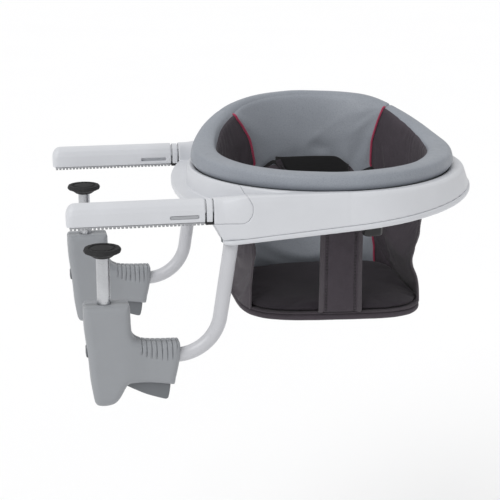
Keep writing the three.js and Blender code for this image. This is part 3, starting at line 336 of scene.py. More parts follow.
def soften(obj, voxel, passes, keep):
    """Rounds every edge a little, as moulding does: an even mesh, evened out and thinned."""
    even_out(obj, voxel)
    if passes:
        round_off = obj.modifiers.new("round", "SMOOTH")
        round_off.factor = 0.5
        round_off.iterations = passes
    if keep < 1:
        thin = obj.modifiers.new("thin", "DECIMATE")
        thin.ratio = keep
    bake(obj)


def bevel(obj, width, segments, even_light=False):
    edge = obj.modifiers.new("edge", "BEVEL")
    edge.width = width * MM
    edge.segments = segments
    edge.limit_method = "ANGLE"
    edge.angle_limit = math.radians(40)
    edge.harden_normals = even_light
    bake(obj)


def refine(obj):
    """Subdivides the mesh once, which rounds it, and bakes what else it carries."""
    fine = obj.modifiers.new("fine", "SUBSURF")
    fine.levels = 1
    bake(obj)


# Materials

def shader_of(name):
    look = bpy.data.materials.new(name)
    look.use_nodes = True
    return look, look.node_tree, look.node_tree.nodes["Principled BSDF"]


def wire(tree, made, inputs):
    """Gives a node's inputs their constants, or links them to other nodes' outputs."""
    for key, value in inputs.items():
        if isinstance(value, bpy.types.NodeSocket):
            tree.links.new(value, made.inputs[key])
        else:
            made.inputs[key].default_value = value


def node(tree, kind, inputs=None, **values):
    made = tree.nodes.new("ShaderNode" + kind)
    for key, value in values.items():
        setattr(made, key, value)
    wire(tree, made, inputs or {})
    return made


def place_of(tree):
    return node(tree, "TexCoord").outputs["Object"]


def noise_of(tree, at, scale, detail=2.0, rough=0.5, stretch=None):
    if stretch:
        at = node(tree, "Mapping", {"Vector": at, "Scale": stretch}).outputs[0]
    return node(tree, "TexNoise", {
        "Vector": at, "Scale": scale, "Detail": detail, "Roughness": rough,
    }).outputs["Fac"]


def between(tree, value, low, high, start=0.3, end=0.7):
    """Runs from low to high while the value runs from start to end."""
    return node(tree, "MapRange", {
        "Value": value, "From Min": start, "From Max": end, "To Min": low, "To Max": high,
    }).outputs["Result"]


def brighten(tree, colour, value):
    return node(tree, "HueSaturation", {"Color": colour, "Value": value}).outputs["Color"]


def bumps(tree, layers):
    """layers are (height, depth in metres, strength), laid one on the other."""
    normal = None
    for height, depth, strength in layers:
        inputs = {"Height": height, "Distance": depth, "Strength": strength}
        if normal:
            inputs["Normal"] = normal
        normal = node(tree, "Bump", inputs).outputs["Normal"]
    return normal


def moulded(name, colour, rough, grain=1400, depth=0.00005, strength=0.35):
    """Moulded plastic with a fine spark-eroded grain and slight flow marks."""
    look, tree, shader = shader_of(name)
    at = place_of(tree)
    wire(tree, shader, {
        "Base Color": brighten(tree, (*colour, 1),
                               between(tree, noise_of(tree, at, 18, 3), 0.975, 1.025)),
        "Roughness": between(tree, noise_of(tree, at, 60, 3), rough - 0.05, rough + 0.05),
        "Specular IOR Level": 0.5,
        "Normal": bumps(tree, [(noise_of(tree, at, 35, 2), 0.0004, 0.12),
                               (noise_of(tree, at, grain, 2), depth, strength)]),
    })
    return look


def brushed(name, colour, rough):
    """Turned or drawn metal with fine lines round it."""
    look, tree, shader = shader_of(name)
    at = place_of(tree)
    lines = noise_of(tree, at, 500, 3, stretch=(0.12, 0.12, 2.5))
    wire(tree, shader, {
        "Metallic": 1.0,
        "Base Color": brighten(tree, (*colour, 1),
                               between(tree, noise_of(tree, at, 40, 3), 0.93, 1.05)),
        "Roughness": between(tree, lines, rough - 0.08, rough + 0.1),
        "Normal": bumps(tree, [(lines, 0.00004, 0.4)]),
    })
    return look


def leatherette(name, colour, rough=0.5):
    """Coated cloth: pebbled grain in cells of about a millimetre, soft creases, and painted shade
    in the sunken edges between the cells.
    """
    look, tree, shader = shader_of(name)
    at = place_of(tree)
    bend = node(tree, "TexNoise", {"Vector": at, "Scale": 420.0, "Detail": 2.0})
    warped = node(tree, "MixRGB", {"Fac": 0.0012, "Color1": at, "Color2": bend.outputs["Color"]},
                  blend_type="ADD")
    cells = node(tree, "TexVoronoi", {"Vector": warped.outputs[0], "Scale": 780.0},
                 feature="SMOOTH_F1")
    cells.inputs["Smoothness"].default_value = 0.6
    grain = cells.outputs["Distance"]
    raised = node(tree, "Math", {0: 1.0, 1: grain}, operation="SUBTRACT").outputs[0]
    tint = brighten(tree, (*colour, 1), between(tree, noise_of(tree, at, 14, 3), 0.95, 1.05))
    wire(tree, shader, {
        # Painted shade: the colour darkens from each cell's raised middle toward the sunken edges
        # between cells.
        "Base Color": brighten(tree, tint, between(tree, grain, 1.04, 0.86, 0.2, 0.9)),
        "Roughness": between(tree, noise_of(tree, at, 90, 3), rough - 0.06, rough + 0.06),
        "Specular IOR Level": 0.42,
        "Sheen Weight": 0.08,
        "Sheen Roughness": 0.4,
        "Normal": bumps(tree, [(noise_of(tree, at, 55, 3, 0.55), 0.0012, 0.22),
                               (raised, 0.00012, 0.5)]),
    })
    return look


def threads(tree, at, across, along):
    """Height of a plain weave with the given thread spacings, from the piece's own map."""
    split = node(tree, "SeparateXYZ", {"Vector": at})
    waves = []
    for axis, pitch in (("X", across), ("Y", along)):
        turn = node(tree, "Math", {0: split.outputs[axis], 1: TAU / pitch},
                    operation="MULTIPLY").outputs[0]
        waves.append(node(tree, "Math", {0: turn}, operation="SINE").outputs[0])
    both = node(tree, "Math", {0: waves[0], 1: waves[1]}, operation="MULTIPLY").outputs[0]
    return node(tree, "Math", {0: both, 1: 0.5, 2: 0.5}, operation="MULTIPLY_ADD").outputs[0]


def woven(name, colour, across=0.0008, along=0.0008, depth=0.00016, rough=0.85, sheen=0.25,
          crease=0.3):
    """Woven cloth: threads from the map named weave, in metres, with flecks, soft creases and
    painted shade in the valleys between the threads.
    """
    look, tree, shader = shader_of(name)
    at = place_of(tree)
    flat = node(tree, "Attribute", attribute_name="weave").outputs["Vector"]
    weave = threads(tree, flat, across, along)
    fleck = noise_of(tree, at, 900, 2)
    tint = brighten(tree, (*colour, 1), between(tree, fleck, 0.82, 1.18))
    # Painted shade: the colour darkens where the threads sink into the valleys between them.
    tint = brighten(tree, tint, between(tree, weave, 0.72, 1.18, 0.0, 1.0))
    wire(tree, shader, {
        "Base Color": brighten(tree, tint, between(tree, noise_of(tree, at, 22, 3), 0.9, 1.1)),
        "Roughness": between(tree, fleck, rough - 0.06, rough + 0.06),
        "Specular IOR Level": 0.3,
        "Sheen Weight": sheen,
        "Sheen Roughness": 0.5,
        "Normal": bumps(tree, [(noise_of(tree, at, 75, 3, 0.5), 0.0015, crease),
                               (weave, depth, 0.6)]),
    })
    return look


WHITE = moulded("white_shell", (0.595, 0.607, 0.636), 0.42)
INNER = moulded("grey_inner", (0.17, 0.19, 0.2), 0.5)
LATCH = moulded("grey_latch", (0.36, 0.37, 0.39), 0.45)
BLACK = moulded("black_tab", (0.012, 0.012, 0.013), 0.5)
FOOT = moulded("soft_foot", (0.36, 0.368, 0.384), 0.72, grain=900, strength=0.5)
RUBBER = moulded("black_rubber", (0.014, 0.014, 0.015), 0.8, grain=700, strength=0.6)
TUBE = moulded("painted_tube", (0.51, 0.515, 0.54), 0.3, grain=500, depth=0.00003, strength=0.2)
CLAMP = moulded("clamp_shell", (0.28, 0.292, 0.31), 0.46, grain=1100, strength=0.45)
TRIGGER = moulded("trigger_grey", (0.136, 0.145, 0.157), 0.48)
STEEL = brushed("plain_steel", (0.55, 0.56, 0.58), 0.32)
LEATHER = leatherette("leatherette", (0.262, 0.283, 0.318))
FABRIC = woven("seat_fabric", (0.056, 0.046, 0.056), sheen=0.1)
# Painted shade: the seat fabric at half its brightness, for the seat cushion and the left belt
# flap, which lie in the shade inside the seat.
SHADED_FABRIC = woven("seat_fabric_painted_shade", (0.026, 0.021, 0.027), sheen=0.08)
BINDING = woven("binding_fabric", (0.072, 0.062, 0.071), 0.0007, 0.0007, sheen=0.2,
                crease=0.1)
PIPING = woven("piping_fabric", (0.36, 0.035, 0.085), 0.0007, 0.0007, rough=0.75, crease=0.1)
WEBBING = woven("webbing", (0.008, 0.008, 0.009), 0.0016, 0.0045, 0.0006, crease=0.05)
THREAD = woven("thread", (0.007, 0.006, 0.007), 0.0004, 0.0004, crease=0.0)


def place(obj, nodes, look, body=None, name=None):
    """Gives a finished piece its look, its body and the model's nodes that it stands for.

    A piece that stands for none, such as a hem, names its body."""
    nodes = [nodes] if isinstance(nodes, str) else list(nodes)
    if name:
        obj.name = name
    obj.data.materials.clear()
    obj.data.materials.append(look)
    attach(obj, body or BODY_OF[nodes[0]])
    if nodes:
        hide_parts(*nodes)
    return obj


def dress(look, *names):
    """Better material on a node of the model that stays."""
    for name in names:
        NODES[name].material_slots[0].material = look


# White housing

def bottom_z(x):
    return mix(*BOTTOM, (x - DISC_NEAR_X) / (DISC_FAR_X - DISC_NEAR_X))


def band_z(x):
    return bottom_z(x) + mix(*BAND, (x - DISC_NEAR_X) / (DISC_FAR_X - DISC_NEAR_X))


def plan_radius(angle):
    return DISC_RADIUS + DISC_REACH * math.cos(angle)


def shoulder(angle):
    return mix(*SHOULDER, ((1 + math.cos(angle)) / 2) ** 1.5)


FINE_WALL = spline(WALL, 5)
# Half of the arm's width and its height, as shares, from the inner side over the top
ARM_SHARES = [
    (-0.97, 0), (-1, 0.3), (-0.985, 0.56), (-0.82, 0.8), (-0.5, 0.95), (0, 1),
    (0.5, 0.95), (0.82, 0.8), (0.985, 0.56), (1, 0.3), (0.97, 0),
]


def disc_body():
    """The round body of the housing, whose wall leans in toward its top."""
    rings = []
    for inset, height in FINE_WALL:
        ring = []
        for i in range(ROUND_STEPS):
            a = i / ROUND_STEPS * TAU
            radius = plan_radius(a) - inset * shoulder(a)
            x = SEAT_X + radius * math.cos(a)
            ring.append((x, radius * math.sin(a), mix(band_z(x) + FIT, HOUSING_TOP, height)))
        rings.append(ring)
    return loft("disc", rings)


def bar_body(side):
    """From the arm's section into the housing's wall, in steps counted in front slants."""
    wall_y = DISC_RADIUS - ARM_Y
    crown = ARM_SHARES.index((0, 1))
    counts = [0, 0.35] + [1 + i * 14 / 36 for i in range(37)]
    rings = []
    for count in counts:
        x = HOUSING_FRONT + count * FRONT_SLANT
        turn = smooth((x - HOUSING_FRONT) / (SEAM_X - HOUSING_FRONT))
        foot = mix(SEAM_LOW, band_z(x) + FIT, min(count, 1))
        top = mix(ARM_TOP, HOUSING_TOP, turn)
        ring = []
        for i, (wide, tall) in enumerate(ARM_SHARES):
            y = wide * ARM_HALF
            if i > crown:
                ring.append((y, mix(foot, top, tall)))
                continue
            inset, height = WALL[min(i, len(WALL) - 1)]
            reach = 0 if i == crown else -(wall_y - inset * shoulder(math.pi / 2))
            height = 1 if i == crown else height
            ring.append((mix(y, reach, turn),
                         mix(mix(foot, ARM_TOP, tall), mix(foot, top, height), turn)))
        rings.append([(x, -side * (y - ARM_Y), z) for y, z in spline(ring, 4)])
    return loft("bar", rings)


def apron_body():
    half, steps = ARM_Y - ARM_HALF + FIT, 64
    outline = [(SEAT_X / 2, -half), (SEAT_X / 2, half)]
    for i in range(steps + 1):
        y = mix(half, -half, i / steps)
        sag = APRON_RADIUS - math.sqrt(APRON_RADIUS ** 2 - y * y)
        outline.append((sag - APRON_FRONT, y))
    return loft("apron", [[(x, y, z) for x, y in outline] for z in (APRON_UNDER, APRON_TOP)])


def tub_body():
    """Fills the space between the two arms' ends and the disc, down to the lower rim."""
    back, slant_end, top = SEAT_X / 2, HOUSING_FRONT + FRONT_SLANT, APRON_UNDER + 1.2
    return side_plate("tub", [
        (HOUSING_FRONT, top), (HOUSING_FRONT, SEAM_LOW), (slant_end, band_z(slant_end) + FIT),
        (back, band_z(back) + FIT), (back, top),
    ], -ARM_Y, ARM_Y)


def bridge_region(grow):
    """What of the housing belongs to the bridge, up to the curved seam on its sides."""
    right, low = SEAM_X + 4 + grow, SEAM_LOW - grow
    far, step = ARM_TOP * 3, right - SEAM_ROUND / 2
    outline = [(-APRON_FRONT - ARM_REACH, far), (-APRON_FRONT - ARM_REACH, low)]
    for i in range(9):
        turn = i / 8 * math.pi / 2
        outline.append((right - SEAM_ROUND + math.sin(turn) * SEAM_ROUND,
                        low + SEAM_ROUND - math.cos(turn) * SEAM_ROUND))
    outline += spline([
        (right, low + SEAM_ROUND * 1.1), (right - 0.4, low + SEAM_ROUND * 1.45),
        (right - 3.4, low + SEAM_ROUND * 1.85), (step, low + SEAM_ROUND * 2.3),
    ], 3)
    outline.append((step, far))
    return side_plate("region", outline, -2 * ARM_Y, 2 * ARM_Y)


def bowl():
    """The hollow that the ring sits in, with the bore below it."""
    rise, flare = HOUSING_TOP - BOWL_FLOOR_Z, BOWL_RIM - BOWL_FLOOR
    relief, below, above = BORE + BORE_RELIEF, -90, 120
    wall = spline([
        (BOWL_FLOOR, BOWL_FLOOR_Z), (BOWL_FLOOR + flare * 0.08, BOWL_FLOOR_Z + rise * 0.5),
        (BOWL_FLOOR + flare * 0.42, BOWL_FLOOR_Z + rise * 0.84), (BOWL_RIM, HOUSING_TOP),
    ], 4)
    profile = [(relief, below), (relief, RELIEF_Z), (BORE, RELIEF_Z), (BORE, BOWL_FLOOR_Z),
               *wall, (BOWL_RIM, above)]
    return loft("bowl", [[(a, b, z) for a, b in circle(r, ROUND_STEPS, SEAT_X)]
                         for r, z in profile])


def lock_slot():
    """Room for the rotation lock's tab."""
    half = LOCK_HALF + FIT * 2
    slot = block("slot", BORE, 174.0, -half, half, BOTTOM[0], 11.5)
    slot.data.transform(
        Matrix.Translation((SEAT_X * MM, 0, 0)) @ Matrix.Rotation(LOCK_ANGLE, 4, "Z")
    )
    return slot


def side_bores():
    """Bores for both arm tubes, then for both leg bushes and their heads."""
    bush = TUBE_RADIUS + BUSH_WALL
    made = [bar("bore", TUBE_RADIUS + FIT, -ARM_REACH, ARM_TUBE_INSIDE + FIT, side * ARM_Y,
                ARM_TUBE_Z) for side in (-1, 1)]
    for side in (-1, 1):
        made.append(post("hole", bush + FIT, -60, 3.4, LEG_X, side * ARM_Y))
        made.append(post("head", bush + BUSH_FLANGE + FIT, 3.1, 8.0, LEG_X, side * ARM_Y))
    return made


def make_housing():
    shell = disc_body()
    parts = [bar_body(-1), bar_body(1), tub_body()]
    for part in parts:
        combine(shell, part, "UNION")
    table = block("table", -520, TABLE_CLEAR, -2 * ARM_Y, 2 * ARM_Y, -TABLE_DEPTH, APRON_UNDER)
    cut(shell, [table])
    apron = apron_body()
    combine(shell, apron, "UNION")
    cutters = [bowl(), lock_slot(), *side_bores()]
    cut(shell, cutters)
    bridge = link("bridge", shell.data.copy())
    within, grown = bridge_region(0), bridge_region(0.06)
    combine(bridge, within, "INTERSECT")
    cut(shell, [grown])
    base = rim_body()
    cut(base, cutters)
    drop(*parts, table, apron, *cutters, within, grown)
    for obj, name, node_name, voxel, passes, keep in (
        (shell, "housing_shell", "ring_housing", 1.0, 3, 0.22),
        (bridge, "bridge_shell", "front_bridge", 0.9, 3, 0.3),
        (base, "base_shell", "housing_base", 1.0, 2, 0.22),
    ):
        soften(obj, voxel, passes, keep)
        place(obj, node_name, WHITE, name=name)


def rim_body():
    """Lower rim and floor of the housing: half a disc, and two rounded corners in front."""
    half_turn, corner = ROUND_STEPS // 2, 8
    rings = []
    for inset_share, height in spline([(0.2, 0), (0.04, 0.3), (0, 0.55), (0, 1)], 4):
        ring = []
        for i in range(half_turn + 1):
            a = mix(-math.pi / 2, math.pi / 2, i / half_turn)
            radius = plan_radius(a) - inset_share * shoulder(a)
            ring.append((SEAT_X + radius * math.cos(a), radius * math.sin(a)))
        inset = inset_share * shoulder(math.pi / 2)
        half, front = DISC_RADIUS - inset, HOUSING_FRONT + FRONT_SLANT + inset
        for sign in (1, -1):
            for i in range(corner + 1):
                share = i / corner if sign > 0 else 1 - i / corner
                turn = share * math.pi / 2
                ring.append((front + FRONT_SLANT - math.sin(turn) * FRONT_SLANT,
                             sign * (half - FRONT_SLANT + math.cos(turn) * FRONT_SLANT)))
        rings.append([(x, y, mix(bottom_z(x), band_z(x) + 0.22, height)) for x, y in ring])
    return loft("rim", rings)


make_housing()


# Turntable rings, finer than in the model, as closed profiles of radius and height

TURNTABLE = {
    "seat_track": [(150.3, 22.3), (164.8, 22.3), (164.8, 24), (160, 24), (160, 26), (154, 26),
                   (154, 24), (150.3, 24)],
    "glide_ring": [(154, 26.3), (160, 26.3), (160, 27.7), (154, 27.7)],
    "seat_ring": [(146, 9.7), (148.6, 9.7), (148.6, 28), (164, 28), (164, 30.7), (146, 30.7)],
    "retaining_ring": [(146, 6.4), (155, 6.4), (155, 9.4), (146, 9.4)],
}


def make_turntable():
    for name, profile in TURNTABLE.items():
        obj = turned("fine_" + name, profile, 160)
        bevel(obj, 0.25, 2, even_light=True)
        place(obj, name, INNER)


make_turntable()


# Arms and small rigid parts: copies of the model's solids with moulded edges

# Node, voxel size, smoothing passes, share of faces kept, slot and look
SOFTENED = [
    ("arm_shell", 0.6, 14, 0.3, "white_plastic", WHITE),
    ("arm_latch", 0.35, 3, 0.4, "white_plastic", LATCH),
    ("arm_collar", 0.5, 6, 0.35, "white_plastic", WHITE),
    ("arm_foot", 0, 0, 1, "foot_plastic", FOOT),
    ("edge_pad", 0.4, 3, 0.4, "soft_black", RUBBER),
    ("clamp_pad", 0.5, 4, 0.35, "soft_black", RUBBER),
]


def follow_photo(obj, stem, side):
    """Draws the collar and what is near it toward the housing, and rounds the arm's free end."""
    middle = ARM_Y if side == "far" else -ARM_Y
    round_from = END_ROUND - ARM_REACH
    for vertex in obj.data.vertices:
        x, y, z = (k / MM for k in vertex.co)
        if stem == "arm_latch":
            deep = LATCH_BACK + (abs(y - middle) - LATCH_BACK) / 2
            x = LATCH_LEFT + (x - LATCH_LEFT) * 1.03
            y = middle + math.copysign(deep, y - middle)
        x += COLLAR_SHIFT * smooth((x + 130) / 90)
        if stem == "arm_shell" and x < round_from:
            t = min((round_from - x) / END_ROUND, 1)
            z -= END_ROUND * 0.75 * (1 - math.sqrt(1 - t * t * 0.9)) * smooth((z - 4) / ARM_TOP)
        vertex.co = Vector((x, y, z)) * MM


def make_softened():
    for stem, voxel, passes, keep, slot, look in SOFTENED:
        for side in ("near", "far"):
            name = f"{stem}_{side}"
            obj = copy_of(name)
            if voxel:
                soften(obj, voxel, passes, keep)
            if stem.startswith("arm_") or stem == "edge_pad":
                follow_photo(obj, stem, side)
            place(obj, name, look, name="moulded_" + name)
    lock = copy_of("rotation_lock")
    soften(lock, 0.45, 5, 0.35)
    place(lock, "rotation_lock", BLACK, name="lock_tab")


make_softened()


# Clamps: two half shells of one soft outline, with rings moulded over the grip

# Outlines in the XZ plane
CLAMP_OUTLINE = [
    (-125.0, -95.0), (-148.0, -95.0), (-151.6, -95.9), (-153.2, -98.6), (-153.4, -104.0),
    (-153.2, -115.0), (-152.4, -130.0), (-150.8, -145.0), (-148.4, -167.0),
    (-146.3, -195.0), (-143.6, -213.6), (-141.8, -219.4), (-138.6, -222.6), (-130.3, -223.8),
    (-121.5, -222.5), (-116.2, -219.5), (-111.7, -214.0), (-107.6, -206.6), (-103.6, -199.4),
    (-100.4, -196.6), (-95.5, -195.8), (-84.0, -196.3), (-73.4, -197.3), (-58.0, -199.4),
    (-46.0, -201.2), (-44.0, -199.2), (-42.6, -192.0), (-40.6, -183.5), (-38.4, -172.7),
    (-37.1, -161.0), (-36.9, -150.5), (-38.2, -147.4), (-41.0, -146.6), (-61.0, -146.1),
    (-78.5, -144.8), (-86.5, -142.9), (-92.0, -139.4), (-95.2, -133.5), (-96.6, -125.0),
    (-97.1, -112.0), (-97.3, -103.0), (-97.5, -98.4), (-98.9, -95.8), (-102.0, -95.0),
]
TRIGGER_OUTLINE = [
    (-103.0, -191.4), (-107.4, -193.4), (-107.2, -197.2), (-102.8, -200.6), (-92.5, -206.2),
    (-80.3, -212.3), (-68.0, -216.9), (-58.6, -219.9), (-55.0, -220.6), (-52.6, -219.2),
    (-51.0, -213.6), (-49.6, -205.0), (-49.4, -199.6), (-51.2, -197.6), (-68.0, -195.2),
    (-86.0, -192.2), (-94.0, -189.8), (-98.6, -189.6),
]
BUTTON_OUTLINE = [
    (-151.4, -149.2), (-151.6, -154.5), (-151.4, -159.8), (-149.6, -161.2), (-146.8, -161.3),
    (-146.8, -154.5), (-146.8, -147.7), (-149.6, -147.8),
]
# Grooves of the grip, and the heights of its top and of their lower ends along X
GROOVES = (-83.9, -78.2, -72.1, -66.0, -59.5, -53.2, -46.8, -41.2)
GROOVE_DEPTH, GROOVE_HALF = 1.5, 0.6
GRIP_TOP = [(-86.5, -142.9), (-78.5, -144.8), (-61.0, -146.1), (-41.0, -146.6)]
GROOVE_FOOT = [(-84, -161), (-78, -165), (-66, -168), (-54, -171), (-41, -169)]
CLAMP_EDGE, CLAMP_HALF, GRIP_THINNER, FOOT_THINNER = 8.5, 19.0, 3.5, 2.6
TRIGGER_HALF, BUTTON_HALF, HALVES_GAP = 7.5, 6.3, 0.15
TRIGGER_PIN, PIN_BORE = (-103.0, -194.5), 2.8


def even_outline(outline, spacing):
    pts = np.array(spline(outline, 8, closed=True))
    pts = np.vstack([pts, pts[:1]])
    run = run_along(pts)
    goal = np.linspace(0, run[-1], int(run[-1] / spacing) + 1)[:-1]
    return read_at(goal, run, pts)


def edge_distance(points, outline):
    """Distance from each point to the outline, which it lies inside."""
    best = np.full(len(points), 1e9)
    for a, b in zip(outline, np.roll(outline, -1, axis=0)):
        along = b - a
        t = np.clip((points - a) @ along / along.dot(along), 0, 1)
        best = np.minimum(best, np.linalg.norm(points - a - t[:, None] * along, axis=1))
    return best


def inside(points, outline):
    x, z = points[:, 0], points[:, 1]
    hit = np.zeros(len(points), bool)
    for (ax, az), (bx, bz) in zip(outline, np.roll(outline, -1, axis=0)):
        if az != bz:
            hit ^= ((az > z) != (bz > z)) & (x < (bx - ax) * (z - az) / (bz - az) + ax)
    return hit


def soft_plate(name, outline, edge, thickness, spacing=1.0):
    """A plate in the XZ plane whose rim is rounded all along a free outline."""
    rim = even_outline(outline, spacing)
    ahead = np.roll(rim, -1, axis=0) - np.roll(rim, 1, axis=0)
    normal = np.stack([-ahead[:, 1], ahead[:, 0]], axis=1)
    normal /= np.linalg.norm(normal, axis=1)[:, None]
    if not inside(rim[:1] + normal[:1] * 0.5, rim)[0]:
        normal = -normal
    points = [rim]
    for turn, every in ((12, 1), (25, 1), (38, 1), (52, 1), (68, 2), (88, 2)):
        depth = edge * (1 - math.cos(math.radians(turn)))
        ring = (rim + normal * depth)[::every]
        points.append(ring[inside(ring, rim) & (edge_distance(ring, rim) > depth - 0.04)])
    low, high = rim.min(axis=0), rim.max(axis=0)
    xs, zs = (np.arange(low[k], high[k], 3.0) for k in (0, 1))
    grid = np.array([(x, z) for x in xs for z in zs])
    grid = grid[inside(grid, rim)]
    points.append(grid[edge_distance(grid, rim) > edge + 1.0])
    verts, _, faces, *_ = delaunay_2d_cdt(
        [Vector(p) for p in np.vstack(points)], [], [list(range(len(rim)))], 1, 1e-5,
    )
    flat = np.array([tuple(v) for v in verts])
    depth = np.minimum(edge_distance(flat, rim), edge)
    depth[: len(rim)] = 0
    half = thickness(flat) - edge + np.sqrt(np.maximum(edge ** 2 - (edge - depth) ** 2, 0))
    count = len(flat)
    solid_points = [(x, side * h, z) for side in (-1, 1) for (x, z), h in zip(flat, half)]
    shell = [tuple(f) for f in faces] + [tuple(count + k for k in reversed(f)) for f in faces]
    for i in range(len(rim)):
        j = (i + 1) % len(rim)
        shell.append((j, i, count + i, count + j))
    return make(name, solid_points, shell)


def clamp_thickness(flat):
    """Half of the clamp's thickness, which is less at the grip and at the foot."""
    x, z = flat[:, 0], flat[:, 1]
    t = np.clip((x + 108) / 34, 0, 1)
    taper = np.clip((-195 - z) / 28, 0, 1)
    return CLAMP_HALF - GRIP_THINNER * t * t * (3 - 2 * t) - FOOT_THINNER * taper * taper


def groove_cutter(x):
    """A thin blade over the grip's top and down both its faces, shallower toward its ends."""
    half = float(clamp_thickness(np.array([[x, -150.0]]))[0])
    top, low, clear = read(GRIP_TOP, x), read(GROOVE_FOOT, x), 9
    path = [(half + 0.6, low), (half - GROOVE_DEPTH * 0.5, low + 5),
            (half - GROOVE_DEPTH, low + 11)]
    for k in range(9):
        turn = k / 8 * math.pi / 2
        path.append((half - CLAMP_EDGE + (CLAMP_EDGE - GROOVE_DEPTH) * math.cos(turn),
                     top - CLAMP_EDGE + (CLAMP_EDGE - GROOVE_DEPTH) * math.sin(turn)))
    ring = path + [(-y, z) for y, z in reversed(path)]
    ring += [(-half - clear, low), (-half - clear, top + clear), (half + clear, top + clear),
             (half + clear, low)]
    return loft("groove", [[(x + side, y, z) for y, z in ring]
                           for side in (-GROOVE_HALF, GROOVE_HALF)])


def clamp_cutters():
    """Room for the rod, the jam plate and its spring, the trigger, the button and the tube."""
    return [
        post("rod_bore", ROD_RADIUS + FIT * 2, -221.6, -80, ROD_X, 0, 48),
        block("plate_pocket", -143.3, -91.3, -12.3, 12.3, -187.3, -181.0),
        post("spring_pocket", 12.5, -187.0, -170.0, ROD_X, 0, 48),
        side_plate("trigger_pocket", [
            (-108.9, -228.6), (-47.2, -228.6), (-47.2, -184.9), (-92.0, -186.7), (-108.9, -186.7),
        ], -8.1, 8.1),
        block("button_pocket", -162.6, -142.4, -6.8, 6.8, -161.8, -147.2),
        bar("tube_bore", TUBE_RADIUS + FIT, LEG_REACH - FIT, -30.0, 0, LEG_RUN),
        pin("pin_bore", PIN_BORE, -13.3, 13.3, *TRIGGER_PIN),
        *(groove_cutter(x) for x in GROOVES),
    ]


def set_at(obj, side):
    """Moves a piece drawn about the near arm's plane to its own arm, mirrored for the far one."""
    if side == "far":
        obj.data.transform(Matrix.Scale(-1, 4, (0, 1, 0)))
        obj.data.flip_normals()
    obj.data.transform(Matrix.Translation((0, (ARM_Y if side == "far" else -ARM_Y) * MM, 0)))
    return obj


def make_clamps():
    whole = soft_plate("clamp", CLAMP_OUTLINE, CLAMP_EDGE, clamp_thickness)
    cutters = clamp_cutters()
    cut(whole, cutters)
    trigger = soft_plate("trigger", TRIGGER_OUTLINE, 1.8,
                         lambda flat: np.full(len(flat), TRIGGER_HALF))
    hole = pin("hole", PIN_BORE, -20, 20, *TRIGGER_PIN)
    cut(trigger, [hole])
    button = soft_plate("button", BUTTON_OUTLINE, 0.9,
                        lambda flat: np.full(len(flat), BUTTON_HALF), spacing=0.7)
    for half, low, high in (("outer", -60, -HALVES_GAP), ("inner", HALVES_GAP, 60)):
        room = block("room", -200, 0, low, high, -260, 0)
        shell = link("shell", whole.data.copy())
        combine(shell, room, "INTERSECT")
        for side in ("near", "far"):
            piece = set_at(link("shell", shell.data.copy()), side)
            place(piece, f"clamp_shell_{half}_{side}", CLAMP,
                  name=f"clamp_half_{half}_{side}")
        drop(room, shell)
    for side in ("near", "far"):
        for source, node_name, title in ((trigger, "trigger", "squeeze_lever"),
                                         (button, "release_button", "push_button")):
            piece = set_at(link(title, source.data.copy()), side)
            place(piece, f"{node_name}_{side}", TRIGGER, name=f"{title}_{side}")
    drop(whole, trigger, button, hole, *cutters)


make_clamps()


# Bent leg tubes and clamp rods

def leg_path():
    """Down from the housing, leaning to the table below the knee, and round to the clamp."""
    bend_z = LEG_RUN + LEG_BEND
    fall = (LEG_KNEE - bend_z + LEG_BEND * math.sin(LEG_LEAN)) / math.cos(LEG_LEAN)
    bend_x = LEG_X - fall * math.sin(LEG_LEAN) - LEG_BEND * math.cos(LEG_LEAN)
    start = (bend_x + LEG_BEND * math.cos(LEG_LEAN), bend_z - LEG_BEND * math.sin(LEG_LEAN))
    above = (LEG_X, LEG_KNEE + KNEE_REACH)
    below = tuple(mix(a, b, KNEE_REACH / fall) for a, b in zip((LEG_X, LEG_KNEE), start))
    path = [(LEG_X, LEG_TOP), (LEG_X, -KNEE_REACH)]
    for i in range(9):
        t = i / 8
        path.append(tuple(
            (1 - t) ** 2 * a + 2 * t * (1 - t) * b + t * t * c
            for a, b, c in zip(above, (LEG_X, LEG_KNEE), below)
        ))
    path.append(tuple(mix(a, b, 0.5) for a, b in zip(below, start)))
    for i in range(33):
        a = mix(-LEG_LEAN, -math.pi / 2, i / 32)
        path.append((bend_x + LEG_BEND * math.cos(a), bend_z + LEG_BEND * math.sin(a)))
    path.append((LEG_REACH, LEG_RUN))
    return path


def make_legs():
    for side, y in (("near", -ARM_Y), ("far", ARM_Y)):
        leg = tube("leg", [(x, y, z) for x, z in leg_path()], TUBE_RADIUS, 40)
        place(leg, "leg_tube_" + side, TUBE, name="bent_leg_" + side)
        rod = post("rod", ROD_RADIUS, ROD_BOTTOM, ROD_TOP, ROD_X, y, 48)
        bevel(rod, 0.7, 3)
        place(rod, "clamp_rod_" + side, STEEL, name="round_rod_" + side)
        dress(INNER, "leg_bush_" + side, "leg_clip_" + side)
        dress(STEEL, "arm_tube_" + side, "trigger_pin_" + side, "jam_plate_" + side,
              "plate_spring_" + side)


make_legs()


# Padded ring. Angles are in degrees from the seat's back toward +X.

# Where the cloth is sewn to the ring, as an angle and a place among the section's rows
RIGHT_SEAM = [(0, 9.0), (20, 9.05), (40, 9.2), (50, 9.35), (70, 9.35), (80, 9.5), (90, 9.7),
              (100, 9.9), (180, 10)]
LEFT_SEAM = [(0, 9.0), (20, 9.1), (35, 9.5), (45, 10.2), (60, 10.4), (70, 10.75), (90, 10.8),
             (110, 10.3), (180, 10)]
# Degrees by which the left seam slants over 30 mm of the ring's width
SEAM_SKEW = 5.0
# Points for each row of the ring's section, and the row of its inner waist
PER_ROW, WAIST_ROW = 6, 12
PAD_MEAN = 160.0
# Where the crest rises a little more on the right, by how much and how far
SWELL_ANGLE, SWELL_RISE, SWELL_WIDTH = 37, 0.055, 13


def turn_of(angle):
    """The same angle between -180 and 180 degrees."""
    return (angle + 180) % 360 - 180


